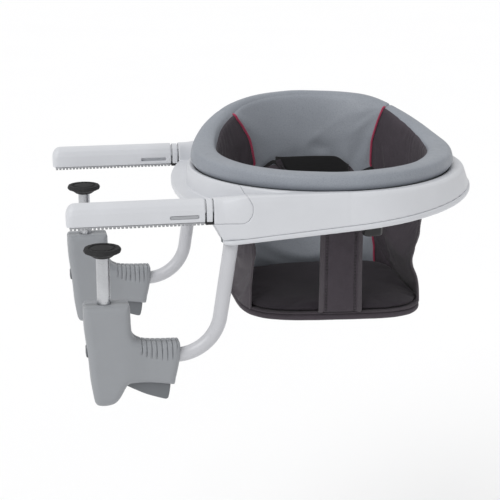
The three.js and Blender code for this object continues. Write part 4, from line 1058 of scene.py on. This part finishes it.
def crest(angle):
    turns = [abs(turn_of(angle + k)) / 90 for k in (-5, -2.5, 0, 2.5, 5)]
    even = float(np.mean([read(CREST, turn) for turn in turns]))
    return even + SWELL_RISE * math.exp(-((turn_of(angle) - SWELL_ANGLE) / SWELL_WIDTH) ** 2)


def seam_row(angle):
    turn = turn_of(angle)
    return read(RIGHT_SEAM if turn > 0 else LEFT_SEAM, abs(turn))


def polar(angle, radius, z):
    turn = math.radians(angle)
    return (SEAT_X + radius * math.sin(turn), radius * math.cos(turn), z)


def pad_profile(angle, pinch=0.0):
    """The ring's section as radius and height: foot, outer side, crown and inner side."""
    tall = crest(angle)
    top = mix(PAD_FRONT_TOP, PAD_BACK_TOP, tall)
    crown = mix(PAD_FRONT_CROWN, PAD_BACK_CROWN, tall)
    far = PAD_OUTER - pinch - PAD_CROWN_INSET - PAD_LEAN * tall
    near = far - crown
    rise = top - pinch - PAD_WAIST
    inner, outer = PAD_INNER + pinch, PAD_OUTER - pinch
    foot = outer - PAD_FOOT_INSET
    low_side = smooth((abs(turn_of(angle)) - 105) / 45)
    rows = [
        (mix(PAD_FOOT_INNER, foot, 0.1), PAD_BASE), (mix(PAD_FOOT_INNER, foot, 0.5), PAD_BASE),
        (foot, PAD_BASE), (mix(foot, outer, 0.7), PAD_BASE + PAD_FOOT_RISE),
        (outer, PAD_WAIST), (mix(outer, far, 0.4), PAD_WAIST + rise * 0.5),
        (far - crown * 0.03, PAD_WAIST + rise * 0.82),
        (far - crown * 0.2, PAD_WAIST + rise * 0.965), (far - crown * 0.45, PAD_WAIST + rise),
        (far - crown * 0.72, PAD_WAIST + rise * mix(0.97, 0.9, low_side)),
        (near + crown * 0.06, PAD_WAIST + rise * mix(0.84, 0.62, low_side)),
        (mix(inner, near, 0.5), PAD_WAIST + rise * 0.5), (inner, PAD_WAIST),
        (PAD_FOOT_INNER, PAD_BASE + PAD_FOOT_RISE),
    ]
    return [(r, max(z, PAD_BASE)) for r, z in spline(rows, PER_ROW, closed=True)]


def pad_piece(node_name, start, end, name):
    """A stretch of the ring, drawn in at its two sewn ends, with slight puckers there."""
    reach = math.radians(end - start) * PAD_MEAN
    near_end = [0, 0.5, 1.2, 2.1, 3.2, 4.6, 6.4]
    middle = np.linspace(9, reach - 9, int(reach / 3.2))
    rings = []
    for along in [*near_end, *middle, *(reach - d for d in reversed(near_end))]:
        angle = mix(start, end, along / reach)
        edge = min(along, reach - along)
        pinch = 0.9 * (1 - smooth(edge / 3.2)) + 0.8 * math.exp(-edge / 0.8)
        slant = SEAM_SKEW * math.exp(-edge / 30) if turn_of(angle) < 0 else 0
        ring = []
        for k, (r, z) in enumerate(pad_profile(angle, pinch)):
            pucker = 0.2 * math.exp(-edge / 9) * math.sin(k * 0.85 + 1.7 * (along > edge))
            turned_to = angle + slant * (PAD_OUTER - r) / 30
            wave = noise.noise(Vector(polar(turned_to, r, z)) * 0.021) * 0.5
            uneven = (pucker + wave) * smooth((z - PAD_BASE) / 8)
            ring.append(polar(turned_to, r + uneven * 0.8, max(z + uneven, PAD_BASE)))
        rings.append(ring)
    obj = loft("pad", rings)
    place(obj, node_name, LEATHER, name=name)


SEAM_HALF = math.degrees(0.25 / PAD_OUTER)
pad_piece("backrest_pad", -SEAM_ANGLE + SEAM_HALF, SEAM_ANGLE - SEAM_HALF, "backrest_cushion")
pad_piece("ring_cushion", SEAM_ANGLE + SEAM_HALF, 360 - SEAM_ANGLE - SEAM_HALF, "rim_cushion")


# Cloth that hangs from the ring's inner crest to the seat base

CLOTH_FOOT = SEAT_BASE_Z + SEAT_RIM - 1.8
# Thickness of the cloth, and the length over which it rolls in to its seam
SHEET, SEAM_ROLL = 1.4, 5.0
# Where the sides are drawn in, as shares of the fall from the neck to the cushion
WAIST_FALL, WAIST_SPREAD = 0.61, 0.19
# Edges of the back panel, as a height and an angle
LEFT_EDGE = [(-140, -56), (-105, -54), (-60, -44), (-20, -32), (6, -30), (42, -34.5),
             (65, -39.3), (80, -42.7), (100, -45.5)]
RIGHT_EDGE = [(-140, 54), (-105, 53), (-60, 49), (-20, 45), (4, 43), (36, 44), (61, 46.3),
              (84, 48.6), (100, 49)]


def cloth_radius(angle, z):
    """Round below the ring, squarer toward the seat, and drawn in at the waist of the sides."""
    fall = min(max((CLOTH_NECK_Z - z) / (CLOTH_NECK_Z - CUSHION_TOP), 0), 1)
    down = smooth(fall)
    round_part = mix(CLOTH_NECK, CLOTH_TOP, smooth((z - CLOTH_NECK_Z) / (PAD_BASE - CLOTH_NECK_Z)))
    power = mix(2, 4, down)
    turn = math.radians(angle)
    side, ahead = abs(math.sin(turn)), math.cos(turn)
    reach = mix(round_part, SEAT_BACK if ahead > 0 else SEAT_FRONT, down)
    half = mix(round_part, SEAT_HALF, down)
    body = ((side / half) ** power + (abs(ahead) / reach) ** power) ** (-1 / power)
    waist = math.exp(-((fall - WAIST_FALL) / WAIST_SPREAD) ** 2)
    held = side * 1.4 - 0.4 if turn > 0 else (side - 0.72) / 0.26
    return body - waist * SEAT_WAIST * 1.1 * smooth(held)


def hang_line(angle, count=140):
    """Visible face of the cloth as radius and height, from its foot up to its seam."""
    heights = np.linspace(CLOTH_FOOT, PAD_WAIST, 60)[:-1]
    hang = [(cloth_radius(angle, z), z) for z in heights]
    face = pad_profile(angle)
    last = seam_row(angle) * PER_ROW
    climb = [face[int(k)] for k in np.arange(WAIST_ROW * PER_ROW, last, -1)]
    k = int(math.floor(last))
    climb.append(tuple(mix(np.array(face[k]), np.array(face[k + 1]), last - k)))
    pts = np.array(hang + climb)
    slope = np.gradient(pts, axis=0)
    slope /= np.linalg.norm(slope, axis=1)[:, None]
    inward = np.stack([-slope[:, 1], slope[:, 0]], axis=1)
    run = run_along(pts)
    left = run[-1] - run
    rolled = np.sqrt(1 - (1 - np.clip(left / SEAM_ROLL, 0, 1)) ** 2)
    proud = np.where(np.arange(len(pts)) < len(hang), SHEET + 0.2, SHEET + 1.2)
    proud = np.where(left < SEAM_ROLL, mix(-0.9, SHEET + 1.2, rolled), proud)
    return read_at(np.linspace(0, run[-1], count), run, pts + inward * proud[:, None])


# The hanging line at each whole degree
HANG = {a: hang_line(a) for a in range(-181, 182)}


def cloth_point(angle, share):
    """Place on the hanging cloth, at a share of its line from the foot to the seam."""
    turn = turn_of(angle)
    low = math.floor(turn)
    line = mix(HANG[low], HANG[low + 1], turn - low)
    along = share * (len(line) - 1)
    k = min(int(along), len(line) - 2)
    r, z = mix(line[k], line[k + 1], along - k)
    return polar(angle, r, z)


def height_at(angle, share):
    return cloth_point(angle, share)[2]


def grid_mesh(name, grid):
    """An open sheet over rows of points, with its own flat map in metres."""
    rows, cols = len(grid), len(grid[0])
    faces = [(j * cols + i, j * cols + i + 1, (j + 1) * cols + i + 1, (j + 1) * cols + i)
             for j in range(rows - 1) for i in range(cols - 1)]
    pts = np.array(grid, float)
    wide, tall = (
        float(np.mean(np.sum(np.linalg.norm(np.diff(pts, axis=k), axis=2), axis=k)))
        for k in (1, 0)
    )
    flat = [(i / (cols - 1) * wide * MM, j / (rows - 1) * tall * MM, 0.0)
            for j in range(rows) for i in range(cols)]
    return mapped(name, pts.reshape(-1, 3) * MM, faces, flat)


def as_cloth(obj, pins, frames, gravity, **settings):
    """Makes a mesh a cloth that is sewn down at its pins."""
    obj.vertex_groups.new(name="sewn").add(pins, 1.0, "REPLACE")
    cloth = obj.modifiers.new("cloth", "CLOTH")
    cloth.settings.vertex_group_mass = "sewn"
    cloth.settings.effector_weights.gravity = gravity
    for key, value in settings.items():
        setattr(cloth.settings, key, value)
    cloth.point_cache.frame_end = frames
    return cloth


def play(frames):
    for moment in range(1, frames + 1):
        bpy.context.scene.frame_set(moment)


def played(obj):
    """Places of the moved points, in millimetres."""
    graph = bpy.context.evaluated_depsgraph_get()
    return coords_of(obj.evaluated_get(graph).to_mesh()) / MM


def capped(move, most):
    """Moves kept under a length, the short ones nearly whole."""
    size = np.linalg.norm(move, axis=1) + 1e-9
    return move * (most * np.tanh(size / most) / size)[:, None]


def settle(jobs, frames=22):
    """Lets sheets cut wider than their frame crumple between sewn edges, and applies it."""
    middle = Vector((SEAT_X, 0, 0)) * MM
    for obj, pins, (wider, taller), stiff, _ in jobs:
        obj.shape_key_add(name="Basis")
        cut_shape = obj.shape_key_add(name="cut")
        for k, vertex in enumerate(obj.data.vertices):
            out = vertex.co - middle
            cut_shape.data[k].co = middle + Vector((out.x * wider, out.y * wider, out.z * taller))
        cloth = as_cloth(obj, pins, frames, 0.25, quality=7, mass=0.2, tension_stiffness=20,
                         compression_stiffness=16, shear_stiffness=7, bending_stiffness=stiff,
                         rest_shape_key=cut_shape)
        cloth.collision_settings.use_collision = False
    play(frames)
    ends = [played(job[0]) for job in jobs]
    for (obj, *_, inward_most), end in zip(jobs, ends):
        obj.modifiers.clear()
        obj.shape_key_clear()
        keep_near(obj, end, inward_most)
    bpy.context.scene.frame_set(1)


# How far the cloth may move outward at a height
OUTWARD_ROOM = [(-150, 1.5), (-125, 5), (-60, 6), (-25, 3.5), (25, 3), (36, 0.7), (60, 0.5)]


def keep_near(obj, ends, inward_most):
    """Caps how far each point moved: little toward the rings, more where the cloth is free."""
    starts = coords_of(obj.data) / MM
    move = ends - starts
    outward = starts - np.array([SEAT_X, 0, 0])
    outward[:, 2] = 0
    outward /= np.linalg.norm(outward, axis=1)[:, None]
    radial = np.sum(move * outward, axis=1)
    rest = capped(move - outward * radial[:, None], 3)
    room = np.interp(starts[:, 2], *zip(*OUTWARD_ROOM))
    radial = np.where(radial > 0, room * np.tanh(radial / room),
                      inward_most * np.tanh(radial / inward_most))
    set_coords(obj.data, (starts + outward * radial[:, None] + rest) * MM)


def thicken(obj, thickness, offset=-1.0):
    """Gives a sheet its thickness: inside the given face, or to both sides at offset 0."""
    shell = obj.modifiers.new("thick", "SOLIDIFY")
    shell.thickness = thickness * MM
    shell.offset = offset
    refine(obj)


# Front edges of the side panels, as a height and an angle
FRONT_RIGHT = [(-140, 125.5), (-120, 125), (-100, 126.5), (-80, 129.5), (-62, 134), (-50, 135.5),
               (-40, 134), (-29, 131), (-18, 128.7), (-6, 128), (0, 128)]
FRONT_LEFT = [(-140, -129), (-100, -128.5), (-80, -130), (-62, -132), (-50, -133), (-40, -132.5),
              (-29, -130.5), (-18, -128.6), (-6, -128), (0, -128)]


def gathers(arc, z, share):
    """Small folds where the side panels are sewn to the ring."""
    wander = noise.noise(Vector((arc * 0.05, z * 0.02, 7.0)))
    return (1.9 + wander) * math.exp((share - 1) / 0.22) * math.sin(arc * TAU / 11 + wander * 6)


def back_folds(arc, z, _):
    """A slanting fold and a soft hollow above the waist belt."""
    along = (z - 33) / 39
    fold = math.exp(-((arc - mix(12, 65, along)) / 9) ** 2 - ((along - 0.5) / 0.6) ** 4)
    hollow = math.exp(-((arc - 30) / 17) ** 2 - ((z - 26) / 8) ** 2)
    return 2.2 * fold - 3.0 * hollow


def panel(name, left, right, columns, rows, low=0.0, folds=None):
    """A sheet between two edges, whose angles are functions of the height, and its pins."""
    grid = []
    for j in range(rows + 1):
        share = mix(low, 1, j / rows)
        z = height_at(45, share)
        line = []
        for i in range(columns + 1):
            angle = mix(left(z), right(z), i / columns)
            x, y, height = cloth_point(angle, share)
            ripple = noise.noise(Vector((x, y, height * 0.25)) * 0.06) * 0.8
            held = math.sin(math.pi * i / columns) * math.sin(math.pi * j / rows)
            if folds:
                arc = math.radians(angle) * CLOTH_MEAN
                ripple += folds(arc, height, share) / max(held, 0.01) ** 0.5
            line.append((x - (x - SEAT_X) / CLOTH_MEAN * ripple * held,
                         y - y / CLOTH_MEAN * ripple * held, height))
        grid.append(line)
    pins = [j * (columns + 1) + i for j in range(rows + 1) for i in range(columns + 1)
            if j in (0, rows) or i in (0, columns)]
    return grid_mesh(name, grid), pins


def strip(name, table, radius, flat, proud=0.6, high=1.0):
    """A sewn cord or binding that follows an edge of the cloth."""
    path = []
    for i in range(121):
        share = high * i / 120
        x, y, z = cloth_point(read(table, height_at(45, share)), share)
        size = math.hypot(x - SEAT_X, y)
        path.append((x - (x - SEAT_X) / size * proud, y - y / size * proud, z))
    obj = tube(name, path, radius, 12, flat)
    set_weave(obj.data, [(math.atan2(x - SEAT_X * MM, y) * CLOTH_MEAN * MM, z, 0.0)
                         for x, y, z in coords_of(obj.data)])
    return obj


def hang_cloth():
    overlap = math.degrees(0.6 / CLOTH_MEAN)

    def edge(table, shift=0.0):
        return lambda z: read(table, z) + shift

    back = panel("cloth_back", edge(LEFT_EDGE, -overlap), edge(RIGHT_EDGE, overlap), 52, 64,
                 folds=back_folds)
    east = panel("cloth_right", edge(RIGHT_EDGE, -overlap), edge(FRONT_RIGHT), 84, 60,
                 folds=gathers)
    west = panel("cloth_left", edge(FRONT_LEFT), edge(LEFT_EDGE, overlap), 88, 60, folds=gathers)
    lining = panel("cloth_front", lambda z: FRONT_EDGE + 0.6, lambda z: 360 - FRONT_EDGE - 0.6,
                   48, 12, low=0.68)
    settle([
        (*back, (1.035, 1.02), 2.5, 6.0), (*east, (1.09, 1.02), 0.25, 8.0),
        (*west, (1.09, 1.02), 0.25, 8.0), (*lining, (1.04, 1.0), 0.4, 4.0),
    ])
    for (obj, _), node_name, slot, look, name in (
        (back, "back_panel", "leatherette", LEATHER, "back_cloth"),
        (east, "side_panel_left", "seat_fabric", FABRIC, "side_cloth_left"),
        (west, "side_panel_right", "seat_fabric", FABRIC, "side_cloth_right"),
        (lining, "front_lining", "seat_fabric", FABRIC, "front_cloth"),
    ):
        thicken(obj, SHEET)
        place(obj, node_name, look, name=name)
    sewn = {}
    for side, table in (("left", RIGHT_EDGE), ("right", LEFT_EDGE)):
        cord = strip("cord_" + side, table, 1.75, 0.85)
        sewn[side] = [place(cord, "piping_" + side, PIPING,
                            name="piping_cord_" + side)]
    for side, table in (("left", FRONT_RIGHT), ("right", FRONT_LEFT)):
        hem = strip("hem_" + side, table, 1.9, 0.8, proud=-0.5, high=0.72)
        sewn[side].append(place(hem, [], BINDING, body="seat",
                                name="side_hem_" + side))


hang_cloth()


# Seat base and its cushion

def seat_plan(inset, z, steps=200):
    """The seat's outline, a square with round corners, as evenly spaced points."""
    ring = []
    for i in range(721):
        turn = i % 720 / 720 * TAU
        wide = math.copysign(abs(math.sin(turn)) ** 0.5, math.sin(turn))
        ahead = math.copysign(abs(math.cos(turn)) ** 0.5, math.cos(turn))
        reach = SEAT_BACK if ahead > 0 else SEAT_FRONT
        ring.append((SEAT_X + wide * (SEAT_HALF - inset), ahead * (reach - inset)))
    run = run_along(ring)
    goal = np.linspace(0, run[-1], steps + 1)[:-1]
    return [(x, y, z) for x, y in read_at(goal, run, ring).tolist()]


# A stitch from end to end: share of its length, rise and thickness
STITCH = ((0, -0.5, 0.3), (0.15, -0.05, 0.8), (0.5, 0.2, 1), (0.85, -0.05, 0.8), (1, -0.5, 0.3))


def unit(vector):
    return vector / (np.linalg.norm(vector) + 1e-9)


def stitch_row(name, path, outs, pitch, length, radius):
    """Small threads laid along a path, each dipping into the cloth at both ends."""
    run = run_along(path)
    count, sides, last = int(run[-1] / pitch), 6, len(STITCH) - 1
    verts, faces = [], []
    for n in range(count):
        start = (n + 0.5) * run[-1] / count - length / 2
        base = len(verts)
        for share, rise, size in STITCH:
            at = start + share * length
            ahead = unit(read_at(at + 0.5, run, path) - read_at(at - 0.5, run, path))
            up = read_at(at, run, outs)
            up = unit(up - ahead * up.dot(ahead))
            across = np.cross(ahead, up)
            centre = read_at(at, run, path) + up * rise * radius * 1.6
            verts += [centre + (across * a + up * b * 0.7) * radius * size
                      for a, b in circle(1, sides)]
        for j in range(last):
            a, b = base + j * sides, base + (j + 1) * sides
            for k in range(sides):
                h = (k + 1) % sides
                faces.append((a + k, a + h, b + h, b + k))
        faces.append(tuple(base + k for k in reversed(range(sides))))
        faces.append(tuple(base + last * sides + k for k in range(sides)))
    points = np.array(verts) * MM
    return place(mapped(name, points, faces, points), [], THREAD, body="seat")


def weave_by_place(obj):
    """Flat map for a form whose cloth lies mostly level: threads run along X and Y."""
    x, y, z = coords_of(obj.data).T
    set_weave(obj.data, np.stack([x + z * 0.5, y + z * 0.5, z * 0], axis=1))


# Insets and heights: the board's rim, the piped rim of its cover, and the cushion over them
BOARD_RIM = [(7.0, -150.0), (3.0, -149.6), (0.7, -147.8), (0.0, -145.6), (0.5, -143.4),
             (2.0, -142.1)]
COVER_RIM = [(3.4, -141.6), (1.6, -141.1), (0.7, -140.2), (1.4, -139.3), (4.0, -139.0)]
COVER_TOP = -139.0
CUSHION_RINGS = [(6.0, -138.7), (3.2, -138.4), (2.4, -137.4), (3.0, -136.0), (6.0, -133.8),
                 (11, -131.4), (20, -128.9), (34, -126.8), (52, -125.4), (68, -124.9)]


def make_base():
    below = [(inset, SEAT_BASE_Z) for inset in (60, 30, 12)]
    above = [(inset, COVER_TOP) for inset in (14, 40)]
    rings = []
    for inset, z in [*below, *spline(BOARD_RIM, 3), *spline(COVER_RIM, 3), *above]:
        wave = 0 if abs(z - COVER_TOP) < 0.1 else 0.25
        rings.append([(x, y, z + wave * noise.noise(Vector((x, y, 0)) * 0.05))
                      for x, y, _ in seat_plan(inset, z)])
    base = loft("base", rings)
    weave_by_place(base)
    place(base, "seat_base", FABRIC, name="seat_board_cover")
    path = seat_plan(2.6, COVER_TOP - 0.2, 400)
    outs = [((x - SEAT_X) * 0.01, y * 0.01, 1.0) for x, y, _ in path]
    stitch_row("base_stitches", path + path[:1], outs + outs[:1], 3.6, 2.6, 0.34)


def make_cushion():
    """A thin cushion that is thicker toward the seat's back."""
    cushion = loft("cushion", [
        [(x, y, z + 5.5 * smooth((y + 30) / 90) * smooth((inset - 2) / 9))
         for x, y, _ in seat_plan(inset, z)]
        for inset, z in CUSHION_RINGS
    ])
    swell(cushion)
    weave_by_place(cushion)
    # Painted shade: the cushion wears the darkened seat fabric, for the shade inside the seat.
    place(cushion, "seat_cushion", SHADED_FABRIC, name="seat_pad")


def swell(obj):
    """Fills the cushion with air as a cloth and keeps it on its board."""
    frames, sewn_below = 20, -134.5
    even_out(obj, 4.5)
    bake(obj)
    starts = coords_of(obj.data) / MM
    low = [k for k, p in enumerate(starts) if p[2] < sewn_below]
    as_cloth(obj, low, frames, 0, quality=5, use_pressure=True, uniform_pressure_force=4,
             shrink_min=-0.005)
    play(frames)
    move = played(obj) - starts
    obj.modifiers.clear()
    done = starts + capped(move, 2.2)
    done[:, 2] = np.maximum(done[:, 2], CUSHION_FLOOR)
    set_coords(obj.data, done * MM)
    bpy.context.scene.frame_set(1)
    refine(obj)


make_base()
make_cushion()


# Crotch panel: a flat strap with bound, double-stitched edges

# Its line as Y and height
CROTCH = [(-119.8, -137.8), (-121.2, -134.0), (-121.6, -118), (-121.8, -84), (-123.3, -47),
          (-126.9, -10), (-130.2, 13)]
STRAP_HALF, HEM_HALF, HEM_THICK = STRAP_WIDTH / 2, 2.9, 1.9


def crotch_cloth(line):
    """The strap, with slight creases and a dip beside each hem."""
    grid = []
    for j, (y, z) in enumerate(line):
        calm = math.sin(math.pi * (j / (len(line) - 1)))
        row = []
        for i in range(73):
            across = mix(-1, 1, i / 72)
            ridge = (math.sin(z * 0.33 + math.sin(across * 3.1 + 0.5) * 1.2)
                     * 0.35 * smooth((z + 70) / 40) * (1 - across * across) * calm)
            uneven = noise.noise(Vector((across * 2.2, z * 0.05, 3.0))) * 1.1
            ridge += uneven * (1 - across ** 4) * calm
            dip = math.exp(-((abs(across) - 0.75) * STRAP_HALF / 1.9) ** 4)
            row.append((SEAT_X + across * (STRAP_HALF - 3.0), y - ridge + dip * 0.9, z))
        grid.append(row)
    main = grid_mesh("crotch", grid)
    thicken(main, 2.0, offset=0.0)
    return place(main, "crotch_panel", FABRIC, name="crotch_cloth")


def crotch_hem(line, side, sign):
    """A flat binding round the strap's edge."""
    centre = SEAT_X + sign * (STRAP_HALF - HEM_HALF)
    rings = []
    for n, (y, z) in enumerate(line):
        before, after = line[max(n - 1, 0)], line[min(n + 1, len(line) - 1)]
        slope = math.atan2(after[1] - before[1], after[0] - before[0])
        ring = []
        for a, b in circle(1, 20):
            wide = HEM_HALF * math.copysign(abs(a) ** 0.6, a)
            thick = HEM_THICK * math.copysign(abs(b) ** 0.7, b)
            ring.append((centre + wide, y - 0.2 - math.sin(slope) * thick,
                         z + math.cos(slope) * thick))
        rings.append(ring)
    hem = loft("hem", rings)
    x, _, z = coords_of(hem.data).T
    set_weave(hem.data, np.stack([x, z, z * 0], axis=1))
    return place(hem, [], BINDING, body="seat", name="crotch_hem_" + side)


def make_crotch():
    line = spline(CROTCH, 14)
    main = crotch_cloth(line)
    for side, sign in (("left", -1), ("right", 1)):
        crotch_hem(line, side, sign)
        for n, at in enumerate((0.71, 0.79)):
            row = [(SEAT_X + sign * at * (STRAP_HALF - 3.0), y - 0.35, z) for y, z in line]
            stitch_row(f"crotch_stitches_{side}_{n + 1}", row,
                                     [(0, -1, 0.15)] * len(row), 4.2, 3.0, 0.62)


make_crotch()


# Waist webbing, and the folded ends and flaps beside it

# Path, directions of the face, half width, thickness, columns, slot and look
BANDS = {
    "belt_fold_left": (
        [(107, 112, -20), (118, 113, -10), (130, 112, -2), (140, 109, -3), (150, 105, -9),
         (163, 100, -19)],
        [(-0.2, -1, 0.4)] * 6, 7.0, 2.0, 12, "seat_fabric", FABRIC),
    "webbing_edge": (
        [(112, 117, -7), (121, 116, 0.5), (129, 115, 7), (134.5, 113, 9.5), (140, 110, 5.5),
         (146, 107, -1)],
        [(-0.2, -1, 0.5)] * 6, 2.6, 1.8, 6, "webbing", WEBBING),
    "belt_flap_left": (
        # The left flap wears the darkened seat fabric: painted shade in its fold.
        [(150, 104, -14), (147, 106, -5), (143, 109, 4), (139.5, 113, 12)],
        [(0.3, -1, 0.3), (0.3, -1, 0.3), (0.2, -1, 0.3), (0.1, -1, 0.2)],
        4.0, 1.4, 8, "seat_fabric", SHADED_FABRIC),
    "belt_flap_right": (
        [(238, 118, -7.5), (246, 115, -9), (255, 110, -12), (264, 104, -15), (272, 98, -18)],
        [(-0.2, -1, 0.2), (-0.3, -1, 0.3), (-0.4, -1, 0.4), (-0.5, -1, 0.4), (-0.5, -1, 0.4)],
        14.0, 1.6, 12, "seat_fabric", BINDING),
    "webbing_tip": (
        [(253, 106, -11), (260, 103, -7.5), (267, 99.5, -3.5), (272, 96.5, -1.5)],
        [(-0.3, -1, 0.6), (-0.3, -1, 0.6), (-0.4, -1, 0.5), (-0.4, -1, 0.5)],
        3.2, 2.0, 6, "webbing", WEBBING),
}
# The webbing's ends, the radius of the wall behind it, and how far it bows from the wall
BELT_X, BELT_WALL, BELT_BOW, BELT_TALL, BELT_TOP = (139.0, 241.5), 134.2, 25, 38, 14.6
# How far its right end dips, from where and over what length
BELT_DIP, DIP_FROM, DIP_RUN = 13.0, 214, 30


def band(name, path, outs, half, thick, columns, slot, look):
    """A flat band along a path, whose face turns softly."""
    pts = [Vector(p) for p in spline(path, 6)]
    dirs = [Vector(p).normalized() for p in spline(outs, 6)]
    grid = []
    for j, (p, out) in enumerate(zip(pts, dirs)):
        ahead = (pts[min(j + 1, len(pts) - 1)] - pts[max(j - 1, 0)]).normalized()
        across = ahead.cross(out).normalized()
        grid.append([tuple(p + across * mix(-half, half, i / columns)) for i in range(columns + 1)])
    obj = grid_mesh(name, grid)
    thicken(obj, thick, offset=0.0)
    return place(obj, [], look, body="seat", name=name)


def make_belt():
    steps, high = 120, 14
    grid = []
    for j in range(high + 1):
        row = []
        for i in range(steps + 1):
            share = i / steps
            x = mix(*BELT_X, share)
            bow = math.sin(math.pi * share) ** 0.5
            wall = math.sqrt(BELT_WALL ** 2 - (x - SEAT_X) ** 2)
            rise = 2.6 * math.sin(math.pi * share)
            top = BELT_TOP + rise - BELT_DIP * smooth((x - DIP_FROM) / DIP_RUN) ** 1.6
            z = mix(top - BELT_TALL, top, j / high)
            row.append((x, wall - bow * BELT_BOW - 1.6 * math.sin(math.pi * j / high) * bow, z))
        grid.append(row)
    belt = grid_mesh("belt", grid)
    thicken(belt, 2.0, offset=0.0)
    place(belt, "waist_belt", WEBBING, name="waist_webbing")
    bands = {name: band(name, *form) for name, form in BANDS.items()}
    wing = bands.pop("belt_flap_right")


make_belt()


# The photographed seat is turned a little: its front edge runs back toward the left

BASE_SKEW = 0.1


def skew_base(*names):
    for name in names:
        for vertex in bpy.data.objects[name].data.vertices:
            x, y, z = (k / MM for k in vertex.co)
            share = min(max(-y / SEAT_HALF, 0), 1) * smooth((-95 - z) / 45)
            vertex.co.y -= BASE_SKEW * (x - SEAT_X) * share * MM


skew_base("seat_board_cover", "seat_pad", "base_stitches", "side_cloth_left", "side_cloth_right",
          "side_hem_left", "side_hem_right", "crotch_cloth", "crotch_hem_left",
          "crotch_hem_right", "crotch_stitches_left_1", "crotch_stitches_left_2",
          "crotch_stitches_right_1", "crotch_stitches_right_2")


# Stage: pale floor far below, where the floor under a table is, and soft light

FLOOR_REACH, FLOOR_Z = 40000, -740
# Name, direction that the light comes from, width in degrees and strength
LAMPS = (("key", (-1.0, -0.9, 1.3), 40, 1.4), ("top", (0.1, 0.5, 1.0), 80, 0.45))


def make_floor():
    corners = [(-1, -1), (1, -1), (1, 1), (-1, 1)]
    floor = make("floor", [(x * FLOOR_REACH, y * FLOOR_REACH, FLOOR_Z) for x, y in corners],
                 [(0, 1, 2, 3)])
    look, tree, shader = shader_of("floor")
    patch = noise_of(tree, place_of(tree), 1.5, 2)
    wire(tree, shader, {
        "Base Color": brighten(tree, (0.95, 0.95, 0.953, 1), between(tree, patch, 0.997, 1.003)),
        "Roughness": 0.9,
        "Specular IOR Level": 0.1,
    })
    floor.data.materials.append(look)


def make_light():
    world = bpy.data.worlds.new("studio")
    world.use_nodes = True
    sky = world.node_tree.nodes["Background"]
    sky.inputs["Color"].default_value = (1.0, 1.0, 1.0, 1)
    sky.inputs["Strength"].default_value = 0.62
    bpy.context.scene.world = world
    bpy.context.scene.view_settings.view_transform = "Standard"
    for name, source, wide, power in LAMPS:
        data = bpy.data.lights.new(name, "SUN")
        data.angle = math.radians(wide)
        data.energy = power
        lamp = link(name, data)
        lamp.location = source
        lamp.rotation_euler = (-Vector(source)).to_track_quat("-Z", "Y").to_euler()


make_floor()
make_light()
